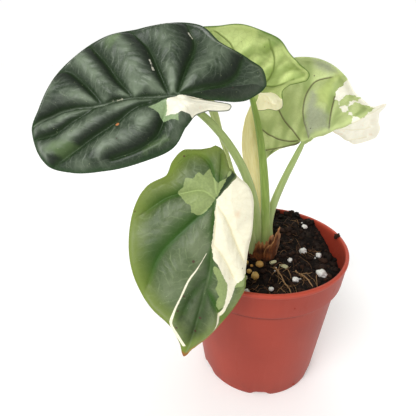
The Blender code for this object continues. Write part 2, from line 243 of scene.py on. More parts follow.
def piece(name, bm, finish, slot, *nodes):
    """Turn a mesh in millimetres into a finished piece that stands for its CAD nodes."""
    bmesh.ops.scale(bm, vec=(MM, MM, MM), verts=bm.verts)
    mesh = bpy.data.meshes.new(name)
    bm.to_mesh(mesh)
    bm.free()
    mesh.shade_smooth()
    mesh.materials.append(finish)
    item = in_scene(name, mesh)
    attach(item, BODY)
    if nodes:
        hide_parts(*nodes)
    return item


def measure(item, name, values):
    """Give every point of a piece a number that its finish can read."""
    item.data.attributes.new(name, "FLOAT", "POINT").data.foreach_set("value", np.asarray(values, dtype=np.float32))


def measure_place(item, name, values):
    """Give every point of a piece a place that its finish can read."""
    kept = item.data.attributes.new(name, "FLOAT_VECTOR", "POINT")
    kept.data.foreach_set("vector", np.asarray(values, dtype=np.float32).ravel())


def smooth_step(value, low, high):
    """0 below low, 1 above high, with a smooth change between them."""
    share = np.clip((value - low) / (high - low), 0, 1)
    return share * share * (3 - 2 * share)


def cloud(x, y, z, scale):
    """Smooth noise from -1 to 1 at each place."""
    return np.array([noise.noise(Vector((a * scale, b * scale, c * scale))) for a, b, c in zip(x, y, z)])


def disc_grid(bm, cells):
    """A round sheet of cells with no seam or pole; the points' places on the unit disc."""
    bmesh.ops.create_grid(bm, x_segments=cells, y_segments=cells, size=1)
    square = np.array([vert.co[:2] for vert in bm.verts])
    u, v = square.T
    return u * np.sqrt(1 - v * v / 2), v * np.sqrt(1 - u * u / 2)


# ---------------------------------------------------------------- blades: shape

# Folds, curls, droops and outlines are the CAD's, but for a smoother rear lobe on blade_right. Veins and colour
# areas are on the flat blade. margin_roll is how far the edge turns down, quilt how far the panels between veins
# rise, and dark_side the side, 1 or -1, on which a vein drops steeply into shade.
BLADES = {
    "blade_left": dict(
        slot="dark_leaf", junction=(-31.0, -6.5, 63.4), tip_way=(-0.98, -0.08, -0.14), face_way=(-0.22, -0.78, 0.62),
        left_fold=(-10, 0), right_fold=(0, 0), fold_from=-9, fold_to=1, left_curl=-0.34, right_curl=-0.11,
        tip_droop=0.23, lobe_droop=0.46,
        outline=[
            (48, 0), (47, 7), (44, 13), (36, 17.5), (25, 19.5), (12, 19), (3, 16.5), (-1.5, 11), (-5, 7.4), (-9, 6.3),
            (-13, 6.9), (-16.2, 6.8), (-17.0, 5.8), (-16.6, 4.8), (-5.2, 1.4), (-12.4, 3.2), (-18, 4.3), (-25, 3.1),
            (-30, -1), (-30, -6), (-26, -10.5), (-18, -18), (-12, -26), (-4, -28.5), (8, -28.5), (20, -28), (30, -24),
            (39, -17), (45, -7),
        ],
        midrib=[(0, 0), (15, -2), (25, -2), (36, -3), (47, -1)],
        veins=[
            [(23, -2), (27, -9), (32, -16), (36, -18)], [(13, -2), (17, -9), (20, -16), (25, -25)],
            [(2, -1), (4, -10), (6, -19), (11, -27)], [(-1, -1), (-5, -9), (-9, -17), (-8, -25)],
            [(-2, -0.4), (-9, -0.8), (-15, -1.3), (-20, -4), (-23, -9)],
            [(4, 0), (13, 2), (19, 5), (26, 8), (33, 11), (40, 14)], [(24, -2), (34, 2), (39, 4), (46, 4)],
            [(3, 3), (5, 8), (8, 12.5), (14, 15.5), (22, 16.5)],
        ],
        cream=[
            [
                (-22, 10), (-22, 5.8), (-5.2, 1.37), (0, 0.3), (2.4, 1.0), (3.2, 3), (3.2, 5.0), (4.0, 6.5),
                (1.0, 7.4), (-0.5, 6.8), (-3.4, 7.1), (-5, 9),
            ],
        ],
        sage=[[(0.4, 9.4), (0, 6), (1.5, 1), (4.8, 1.4), (8.6, 3.0), (6.0, 5.4), (4.9, 8.6), (2.6, 8.4)]],
        glow=[
            [(19.5, -22.5), (18.5, -26), (13.5, -26.5), (14, -24.5), (18, -20.5)],
            [(32, 10.5), (37.5, 13), (42, 9.5), (39.5, 6.8), (34, 7.4)],
            [(3.6, 14.6), (12, 17), (12.4, 15.8), (5, 12.8)],
        ],
        flecks=[
            [(6, -13.5), (5.2, -9.2)], [(-7.8, -22), (-8.8, -20)], [(19.4, -2.4), (16.5, -2.3)],
            [(33, -19.8), (31, -21.6)],
        ],
        dark_side=1, wrinkle=0.25, quilt=2.3, margin_roll=0.25, wave=0.3, pucker=0.3, seed=3,
    ),
    "blade_front": dict(
        slot="green_leaf", junction=(-19.4, -29.0, 38.1), tip_way=(-0.1, -0.56, -0.82), face_way=(0.3, -0.74, 0.6),
        left_fold=(-13, -13), right_fold=(-13, -13), fold_from=-5, fold_to=10, left_curl=-0.57, right_curl=-0.69,
        tip_droop=0.52, lobe_droop=1.15,
        outline=[
            (47, -2.5), (44, -0.5), (41, 3.5), (36, 8.5), (31, 13), (26, 15.5), (20, 14.5), (12, 14.5), (5, 15.5),
            (-2, 14.5), (-7, 12), (-9.3, 8), (-11, 4.9), (-13.2, 4.2), (-16, 3.4), (-17.7, 2), (-18, 0.2), (-17, -2),
            (-16.2, -4.5), (-15.9, -7.2), (-15.6, -10), (-12, -13), (-7, -14.5), (-3, -20), (4, -23.5), (14, -24),
            (27, -20), (34, -14.5), (38, -8.5), (43, -4.5),
        ],
        midrib=[(0, 0), (14, 0.6), (26, 0), (41, -1.5), (47, -2.5)],
        veins=[
            [(0, 0), (-2, -4), (-1, -9), (1, -14), (5, -19)], [(1, 0), (6, -5), (12, -10), (18, -14), (26, -16)],
            [(22, 0), (27, -3), (33, -5)],
            [(-1.5, 0), (-6, -0.8), (-11, -2.5), (-13.4, -6.5), (-9.5, -12), (-7.2, -13.6)],
            [(-2, 0.5), (-9, 1.0), (-14.5, 1.4)], [(2, 1), (7, 5), (13, 9), (18, 13)], [(13, 1), (17, 5), (22, 9)],
            [(25, 0), (31, 4), (35, 7)],
        ],
        cream=[
            [
                (-12, 9.2), (-5.5, 4.4), (0, 0.2), (12, 0.1), (17, 1.2), (20, 3.5), (24, 6), (31, 6), (38, 3.8),
                (38, 4.6), (31, 7.2), (26, 8.4), (24, 9.5), (22, 12), (21, 18), (5, 18), (-6, 16), (-13, 10),
            ],
        ],
        sage=[
            [
                (-0.8, -10.8), (-2.5, -9.0), (-5.2, -8.8), (-5.0, -6.6), (-6.8, -5.2), (-6.2, -3.8), (-8.8, -2.0),
                (-6.8, -1.2), (-4.4, 0.2), (-6.5, 2.4), (-8.8, 3.4), (-9.9, 5.0), (-7.2, 3.2), (-4.2, 1.7),
                (-1.0, 0.3), (0.2, -0.2), (2.2, -1.2), (4.5, -3.0), (5.1, -4.6), (4.6, -6.2), (2.8, -6.6),
                (2.0, -8.2), (0.5, -9.3),
            ],
            [
                (18.2, 1.2), (20.5, 4), (23, 6), (26.2, 7), (30.5, 6), (31.8, 5), (29.2, 3.8), (27.2, 4.0), (25, 2.7),
                (22.5, 2.8), (20.5, 1.5),
            ],
            [(26.4, 7.0), (23.5, 8), (21, 11), (19.5, 14.5), (22.6, 14.0), (24.6, 11.5), (25.0, 9.0)],
        ],
        glow=[[(2.2, 7.6), (3.2, 5.6), (4.6, 5.2), (4.2, 7.2)]],
        cream_line=[
            (15.2, -0.9), (19.8, -3), (23.2, -4.8), (28, -6.2), (32.8, -7.5), (37.5, -7.8), (41, -5), (43.2, -3),
        ],
        deep=[
            [(15, -1), (20, -3), (28, -6), (37, -8), (43.4, -3), (38, 2), (28, 2), (18, 0.4)],
            [(0, 0.2), (-4.5, 3.3), (-9.3, 6.6), (-10.2, 5.6), (-8.8, 3.4), (-3.5, 0.6)],
        ],
        dark_side=-1, wrinkle=0.3, quilt=1.7, margin_roll=0.6, wave=0.5, pucker=0.4, seed=11,
    ),
    "blade_back": dict(
        slot="pale_leaf", junction=(-4.5, 20.0, 62.4), tip_way=(-0.9, 0.3, 0.12), face_way=(0.28, 0.86, 0.42),
        left_fold=(5, 5), right_fold=(11, 52), fold_from=-8, fold_to=6, left_curl=0, right_curl=0, tip_droop=0.46,
        lobe_droop=0.34,
        outline=[
            (45, 0), (43, 6), (36, 14), (28, 19), (21, 21), (11, 21.5), (4, 22), (-3, 21), (-8, 19), (-12, 15.5),
            (-17, 13), (-21, 10.5), (-20.5, 7.5), (-15, 4.5), (-12.5, 0.5), (-13.5, -5), (-11, -10.5), (-7, -10),
            (-3, -11), (5, -14), (15, -17), (27, -15), (37, -9),
        ],
        midrib=[(0, 0), (15, 0.8), (30, 0.4), (45, 0)],
        veins=[
            [(-1, 0.5), (-6, 4), (-8, 9), (-7, 14), (-5, 18.5)], [(-1, 0), (-6, 2.5), (-10, 3), (-16, 7)],
            [(2, 1), (5, 9), (8, 15), (14, 20)], [(11, 1), (16, 9), (24, 17)], [(22, 1), (28, 8), (35, 13)],
            [(-1, -1), (-6, -3), (-10, -6)], [(3, -1), (8, -8), (15, -14)], [(14, 0), (21, -8), (29, -13)],
        ],
        cream=[[(-16, -1.8), (-8, -1.6), (-3, -1.2), (-2, -4), (-2.5, -14), (-16, -14)]],
        sage=[[(-1.2, 20.4), (-5, 18.6), (-8, 16.8), (-9.8, 17.2), (-9, 20), (-5.5, 22.5)]],
        glow=[[(14, 2), (22, 4), (24, 12), (14, 14), (8, 9)]],
        dark_side=1, wrinkle=1.3, quilt=1.5, margin_roll=0.6, wave=2.2, pucker=0.9, seed=23,
    ),
    "blade_right": dict(
        slot="pale_leaf", junction=(20.8, 30.0, 39.3), tip_way=(0.7, -0.5, 0.47), face_way=(0.05, 0.7, 0.69),
        left_fold=(75, 6), right_fold=(22, 22), fold_from=3, fold_to=14, left_curl=-0.23, right_curl=0.23,
        tip_droop=-0.34, lobe_droop=0.57,
        outline=[
            (34, 3), (30, 7), (28, 12), (26.5, 18), (23, 23), (18, 23), (10, 20), (2, 17), (-5, 13), (-10, 9),
            (-13, 5.2), (-16.5, 2.6), (-19.6, 0.8), (-22, -4), (-19, -11), (-14, -18), (-7, -25), (1, -29), (9, -32),
            (17, -33), (22, -29.5), (26, -24), (28, -17), (28, -8), (29.5, -1),
        ],
        midrib=[(0, 0), (5, 0.6), (11, 0.3), (17, 2), (33, 3)],
        veins=[
            [(-1, -1), (-1.5, -9), (-1, -18), (1, -26)],
            [(3, 0), (6, -10), (9, -15), (13, -19), (18, -21), (24, -19)], [(12, 0), (16, -6), (21, -12)],
            [(-2, -1), (-6, -3), (-10, -8), (-12, -15)], [(-2, 0), (-9, -1), (-17, -4)],
            [(3, 1), (8, 9), (15, 17), (20, 20)], [(12, 1), (18, 8), (24, 14)], [(-2, 1), (-5, 5), (-8, 8)],
        ],
        cream=[
            [
                (9, 3), (16, 2.6), (19.5, 3.2), (21.6, 1.4), (21.6, -3), (20, -3.5), (19.8, -6.5), (20.5, -10.5),
                (22, -13), (25.2, -13.6), (28, -15), (32, -18), (38, -5), (38, 8), (30, 28), (9, 28), (6, 10),
            ],
        ],
        isles=[
            [(21, -8.3), (24, -9.7), (27.2, -8), (28.5, -6.5), (27, -5.4), (24, -5.8), (22.5, -4.8), (20, -6)],
            [(22.2, -4), (25, -4.4), (28.2, -2), (30.6, 1.2), (28.4, 2.4), (24, 2.4), (22.2, 1)],
        ],
        sage=[
            [(3, -1.5), (12, -1), (15, -6.2), (12.4, -11.8), (15.8, -16), (14.5, -18.5), (10, -14.5), (6, -8.2)],
            [(3, -30), (12, -33), (15, -30), (12, -27), (5, -26.5)],
            [(22, -29), (26, -24), (26, -20), (23.5, -21), (21, -26)],
        ],
        glow=[[(15.4, -17), (23.8, -19), (27.4, -18), (22, -15), (17, -10), (13.8, -12.5)]],
        dark_side=1, wrinkle=0.5, quilt=1.6, margin_roll=0.5, wave=0.6, pucker=0.5, seed=37,
    ),
}


def blade_junction(blade):
    """Where the stalk meets the blade."""
    return Vector(blade["junction"]) + Vector((0, 0, SOIL_Z))


def blade_frame(blade):
    """Columns: towards the tip, to the left, and out of the upper face."""
    tip = Vector(blade["tip_way"]).normalized()
    face = Vector(blade["face_way"])
    face = (face - tip * face.dot(tip)).normalized()
    return Matrix((tip, face.cross(tip), face)).transposed()


def margin_radius(outline, angles):
    """The margin's distance from the junction in each direction, smooth through the outline."""
    turn = np.array([atan2(y, x) % (2 * pi) for x, y in outline])
    reach = np.array([hypot(x, y) for x, y in outline])
    order = np.argsort(turn)
    turn = turn[order]
    reach = reach[order]
    turn = np.concatenate([turn[-3:] - 2 * pi, turn, turn[:3] + 2 * pi])
    reach = np.concatenate([reach[-3:], reach, reach[:3]])
    gap = np.diff(turn)
    slope = np.diff(reach) / gap
    bend = np.zeros_like(reach)
    same = slope[1:] * slope[:-1] > 0
    first = 2 * gap[1:] + gap[:-1]
    last = gap[1:] + 2 * gap[:-1]
    safe = np.where(same, slope[:-1], 1)
    safe_next = np.where(same, slope[1:], 1)
    bend[1:-1] = np.where(same, (first + last) / (first / safe + last / safe_next), 0)
    angles = np.asarray(angles) % (2 * pi)
    spot = np.clip(np.searchsorted(turn, angles) - 1, 0, len(gap) - 1)
    t = (angles - turn[spot]) / gap[spot]
    rise = (3 - 2 * t) * t * t
    return (
        reach[spot] * (1 - rise) + reach[spot + 1] * rise
        + gap[spot] * t * (1 - t) * ((1 - t) * bend[spot] - t * bend[spot + 1])
    )


def arc(start, rate, run):
    """How far a line goes along and up over run, when its slope starts at start and turns at rate."""
    rate = rate if abs(rate) > 1e-6 else 1e-6
    end = start + rate * run
    return (np.sin(end) - np.sin(start)) / rate, (np.cos(start) - np.cos(end)) / rate


def bend_blade(blade, x, y):
    """Where flat points go once the halves are folded and curled and the midrib droops."""
    share = smooth_step(x, blade["fold_from"], blade["fold_to"])
    halves = []
    for side in ("left", "right"):
        lobe_fold, tip_fold = blade[side + "_fold"]
        fold = np.radians(lobe_fold + (tip_fold - lobe_fold) * share)
        halves.append(arc(fold, radians(blade[side + "_curl"]), np.abs(y)))
    left = y > 0
    across = np.where(left, halves[0][0], -halves[1][0])
    up = np.where(left, halves[0][1], halves[1][1])
    ahead = x > 0
    tip_droop = radians(blade["tip_droop"])
    lobe_droop = radians(blade["lobe_droop"])
    tip_line = arc(0, tip_droop, np.abs(x))
    lobe_line = arc(0, -lobe_droop, np.abs(x))
    tilt = np.where(ahead, tip_droop, lobe_droop) * x
    along = np.where(ahead, tip_line[0], -lobe_line[0])
    fall = np.where(ahead, tip_line[1], -lobe_line[1])
    return np.stack([along + up * np.sin(tilt), across, up * np.cos(tilt) - fall], -1)


def flowing(line, steps=7):
    """A smooth line through a few points."""
    points = np.array(line, dtype=float)
    ends = np.concatenate([2 * points[:1] - points[1:2], points, 2 * points[-1:] - points[-2:-1]])
    made = []
    for before, start, end, after in zip(ends, ends[1:], ends[2:], ends[3:]):
        for share in np.arange(steps) / steps:
            made.append(
                0.5 * (
                    2 * start + (end - before) * share
                    + (2 * before - 5 * start + 4 * end - after) * share ** 2
                    + (3 * start - before - 3 * end + after) * share ** 3
                )
            )
    return np.array(made + [points[-1]])


def to_line(line, x, y):
    """Each point's distance to a line, how far along it the nearest place is, and its side."""
    gap = np.full(x.shape, 1e9)
    along = np.zeros(x.shape)
    side = np.zeros(x.shape)
    run = 0.0
    for (ax, ay), (bx, by) in zip(line, line[1:]):
        length = hypot(bx - ax, by - ay)
        dx = (bx - ax) / length
        dy = (by - ay) / length
        t = np.clip((x - ax) * dx + (y - ay) * dy, 0, length)
        here = np.hypot(x - ax - dx * t, y - ay - dy * t)
        near = here < gap
        gap = np.where(near, here, gap)
        along = np.where(near, run + t, along)
        side = np.where(near, np.sign(dx * (y - ay) - dy * (x - ax)), side)
        run += length
    return gap, along, side


def inside_depth(area, x, y):
    """How deep each point lies inside an area, and less than 0 outside it."""
    points = np.array(area, dtype=float)
    closed = np.concatenate([points, points[:1]])
    gap = to_line(closed, x, y)[0]
    odd = np.zeros(x.shape, dtype=bool)
    for (ax, ay), (bx, by) in zip(closed, closed[1:]):
        if ay == by:
            continue
        crosses = ((ay > y) != (by > y)) & (x < (bx - ax) * (y - ay) / (by - ay) + ax)
        odd ^= crosses
    return np.where(odd, gap, -gap)


def depth_in(areas, x, y):
    """How deep each point lies in the nearest of some areas, and far outside where there are none."""
    return np.max([inside_depth(area, x, y) for area in areas] or [np.full_like(x, -FAR)], axis=0)


def blade_measures(blade, x, y):
    """What the relief and the finish need to know at each flat point of a blade."""
    rib, rib_along, rib_side = to_line(flowing(blade["midrib"]), x, y)
    veins = [to_line(flowing(line), x, y) for line in blade["veins"]]
    gaps = np.stack([rib] + [vein[0] for vein in veins])
    nearest = np.argmin(gaps, axis=0)
    order = np.sort(gaps, axis=0)
    along = np.choose(nearest, [rib_along] + [vein[1] for vein in veins])
    turned = -blade["dark_side"] * np.sign(y)
    flank = np.choose(nearest, [-rib_side] + [vein[2] * turned for vein in veins])
    share = np.clip(2 * order[0] / np.maximum(order[0] + order[1], 1e-6), 0, 1)
    angles = np.linspace(0, 2 * pi, 361)
    reach = margin_radius(blade["outline"], angles)
    margin = np.stack([reach * np.cos(angles), reach * np.sin(angles)], -1)
    edge = to_line(margin, x, y)[0]
    cream = np.minimum(depth_in(blade["cream"], x, y), -depth_in(blade.get("isles", []), x, y))
    streak = np.full_like(x, FAR)
    streak_run = np.full_like(x, 0.3)
    if "cream_line" in blade:
        gap, run, way = to_line(flowing(blade["cream_line"]), x, y)
        streak = gap * way
        streak_run = run / run.max()
    for line in blade.get("flecks", []):
        streak = np.minimum(streak, to_line(line, x, y)[0])
    level = np.full_like(x, blade["seed"] + 4.5)
    return {
        "rib_gap": rib,
        "rib_along": rib_along,
        "vein_gap": order[0],
        "panel_share": share,
        "flank": flank * (1 - share),
        "panel_width": order[0] + order[1],
        "side_vein": along - 0.9 * order[0] + 17.3 * nearest,
        "edge_gap": edge,
        "cream": cream,
        "sage": depth_in(blade["sage"], x, y),
        "streak": streak,
        "streak_run": streak_run,
        "deep": depth_in(blade.get("deep", []), x, y),
        "glow": depth_in(blade["glow"], x, y),
        "wrinkle": cloud(1.6 * (x + y), 0.6 * (x - y), level, 0.16),
    }


def blade_relief(blade, x, y, at):
    """How far each point of the blade stands out of its smooth sheet, towards the upper face."""
    seed = blade["seed"]
    settle = smooth_step(at["edge_gap"], 0.2, 3.6)
    width = np.clip(at["panel_width"] / 8, 0, 1)
    rest = 1 - at["panel_share"]
    dome = np.where(at["flank"] > 0, 1 - rest ** 3.4, 1 - rest ** 1.7)
    relief = blade["quilt"] * width * dome * settle
    relief -= 0.25 * np.exp(-((at["rib_gap"] / 0.9) ** 2)) * smooth_step(at["edge_gap"], 0, 6)
    relief -= blade["margin_roll"] * (1 - smooth_step(at["edge_gap"], 0, 3.2)) ** 2
    still = np.full_like(x, seed)
    pucker = cloud(x, y, still, 0.17)
    relief += (blade["pucker"] * pucker + blade["wrinkle"] * at["wrinkle"]) * settle
    ripple = np.sin(2 * pi * (at["side_vein"] + 1.2 * cloud(x, y, still + 9, 0.25)) / 3.4)
    relief += 0.07 * ripple * smooth_step(at["panel_share"], 0.15, 0.5) * settle
    turn = np.arctan2(y, x)
    far = 1 - smooth_step(at["edge_gap"], 0, 9)
    relief += blade["wave"] * far ** 2 * np.sin(5 * turn + seed) * np.sin(2 * turn + 0.4 * seed)
    return relief


def blade_piece(name, blade, finish):
    """One blade as a closed body: an upper face, an underside with raised ribs, and a thin rounded margin."""
    bm = bmesh.new()
    a, b = disc_grid(bm, BLADE_CELLS)
    reach = margin_radius(blade["outline"], np.arctan2(b, a))
    x = a * reach
    y = b * reach
    at = blade_measures(blade, x, y)
    relief = blade_relief(blade, x, y, at)
    step = 0.05
    middle = bend_blade(blade, x, y)
    run = bend_blade(blade, x + step, y) - bend_blade(blade, x - step, y)
    across = bend_blade(blade, x, y + step) - bend_blade(blade, x, y - step)
    out = np.cross(run, across)
    out /= np.linalg.norm(out, axis=1)[:, None]
    thin = 0.35 + 0.65 * smooth_step(at["edge_gap"], 0, 1.6)
    fade = np.clip(1 - at["rib_along"] / 46, 0.15, 1)
    ribs = 1.15 * fade * np.exp(-((at["rib_gap"] / (0.35 + 0.75 * fade)) ** 2))
    ribs += 0.22 * np.exp(-((at["vein_gap"] / 0.55) ** 2)) * smooth_step(at["edge_gap"], 0.5, 4)
    half = 0.5 * BLADE_THICKNESS * thin
    upper = middle + out * (relief + half)[:, None]
    under = middle + out * (relief - half - ribs * smooth_step(at["edge_gap"], 0.2, 3))[:, None]

    sheet = bm.faces[:]
    count = len(bm.verts)
    rim = [edge for edge in bm.edges if edge.is_boundary]
    twin = bmesh.ops.duplicate(bm, geom=bm.verts[:] + bm.edges[:] + sheet)
    bm.verts.index_update()
    under_faces = [item for item in twin["geom"] if isinstance(item, bmesh.types.BMFace)]
    under_rim = [item for item in twin["geom"] if isinstance(item, bmesh.types.BMEdge) and item.is_boundary]
    place = np.array(blade_frame(blade))
    corner = np.array(blade_junction(blade))
    both = np.concatenate([upper, under]) @ place.T + corner
    bm.verts.ensure_lookup_table()
    for vert, co in zip(bm.verts, both):
        vert.co = co
    bmesh.ops.reverse_faces(bm, faces=under_faces)
    bmesh.ops.bridge_loops(bm, edges=rim + under_rim)
    bmesh.ops.recalc_face_normals(bm, faces=bm.faces)
    item = piece(name, bm, finish, blade["slot"], name.replace("_piece", ""))
    for words, values in at.items():
        if words not in ("rib_along", "panel_width"):
            measure(item, words, np.tile(values, 2))
    measure(item, "upper", np.repeat([1.0, 0.0], count))
    measure_place(item, "flat", np.stack([np.tile(x, 2), np.tile(y, 2), np.repeat([0.0, FAR], count)], -1))


# ---------------------------------------------------------------- blades: finish

# How a leaf looks where its own looks don't say.
LEAF_BASE = dict(
    valley=(0.02, 0.07, 0.01), panel=(0.05, 0.1, 0.035), painted_highlight_panel=(0.11, 0.18, 0.08), shade=(0.02, 0.05, 0.01),
    thread=(0.22, 0.32, 0.14), rim_width=1.6, outline=None, patch=1.0, gloss=0.42, specular=0.4, spots=[], rust=[],
    streak_share=1.0, shade_share=0.6,
)
LEAF_LOOKS = {
    "blade_left": dict(LEAF_BASE,
        valley=(0.012, 0.034, 0.005), panel=(0.018, 0.034, 0.015), painted_highlight_panel=(0.165, 0.212, 0.14),
        shade=(0.004, 0.009, 0.003), thread=(0.22, 0.27, 0.19), rim=(0.014, 0.044, 0.009), rim_width=1.8,
        sage=(0.24, 0.33, 0.17), cream=(0.93, 0.9, 0.74), glow=(0.115, 0.19, 0.06), outline=(0.018, 0.045, 0.014),
        under=(0.16, 0.25, 0.1), pale_and_highlight_under=(0.26, 0.36, 0.16), under_vein=(0.1, 0.15, 0.05), jag=1.2, gloss=0.36,
        specular=0.3, painted_glow_strength=0.02,
        rust=[(18.8, 6.2, 0.75)],
        streak_share=0.55, shade_share=0.88,
    ),
    "blade_front": dict(LEAF_BASE,
        valley=(0.028, 0.094, 0.005), panel=(0.055, 0.092, 0.026), painted_highlight_panel=(0.15, 0.19, 0.098),
        shade=(0.026, 0.078, 0.005), thread=(0.24, 0.31, 0.15), rim=(0.195, 0.258, 0.038), rim_width=8.4,
        sage=(0.235, 0.3, 0.11), cream=(0.92, 0.88, 0.68), glow=(0.82, 0.55, 0.32), under=(0.18, 0.28, 0.09),
        pale_and_highlight_under=(0.28, 0.38, 0.14), under_vein=(0.12, 0.18, 0.05), jag=1.4, specular=0.35, painted_glow_strength=0.03,
        spots=[
            (17.8, -4.2, 0.5), (27.8, -5.5, 0.4), (32.2, -6.5, 0.4), (37.5, -6.2, 0.5), (38.0, -0.8, 0.4),
            (33.8, -0.2, 0.4), (-12.5, -9.5, 0.4), (5.5, -23.0, 0.4),
        ],
        shade_share=0.7,
    ),
    "blade_back": dict(LEAF_BASE,
        rim=(0.14, 0.25, 0.04), sage=(0.1, 0.18, 0.04), cream=(0.95, 0.9, 0.64), glow=(0.42, 0.54, 0.13),
        outline=(0.07, 0.14, 0.012), under=(0.205, 0.288, 0.062), pale_and_highlight_under=(0.525, 0.615, 0.235),
        under_vein=(0.13, 0.18, 0.03), patch=0.7, jag=1.0, gloss=0.4, painted_glow_strength=0.2,
    ),
    "blade_right": dict(LEAF_BASE,
        rim=(0.3, 0.42, 0.12), sage=(0.32, 0.345, 0.25), cream=(0.85, 0.83, 0.71), glow=(0.5, 0.6, 0.18),
        under=(0.27, 0.35, 0.11), pale_and_highlight_under=(0.5, 0.58, 0.25), under_vein=(0.085, 0.075, 0.025), patch=0.8, jag=2.8,
        painted_glow_strength=0.22,
    ),
}
FLAT_TIP = (44.6, 46.4)


def near_spots(leaf, flat, spots):
    """1 in a few small round places on the flat blade, 0 elsewhere."""
    mask = 0.0
    for x, y, radius in spots:
        gap = leaf.node("ShaderNodeVectorMath", {"operation": "DISTANCE"}, {0: flat, 1: (x, y, 0)}, "Value")
        spot = gap.step(0.5 * radius, radius, 1.0, 0.0)
        mask = spot.high(mask)
    return mask


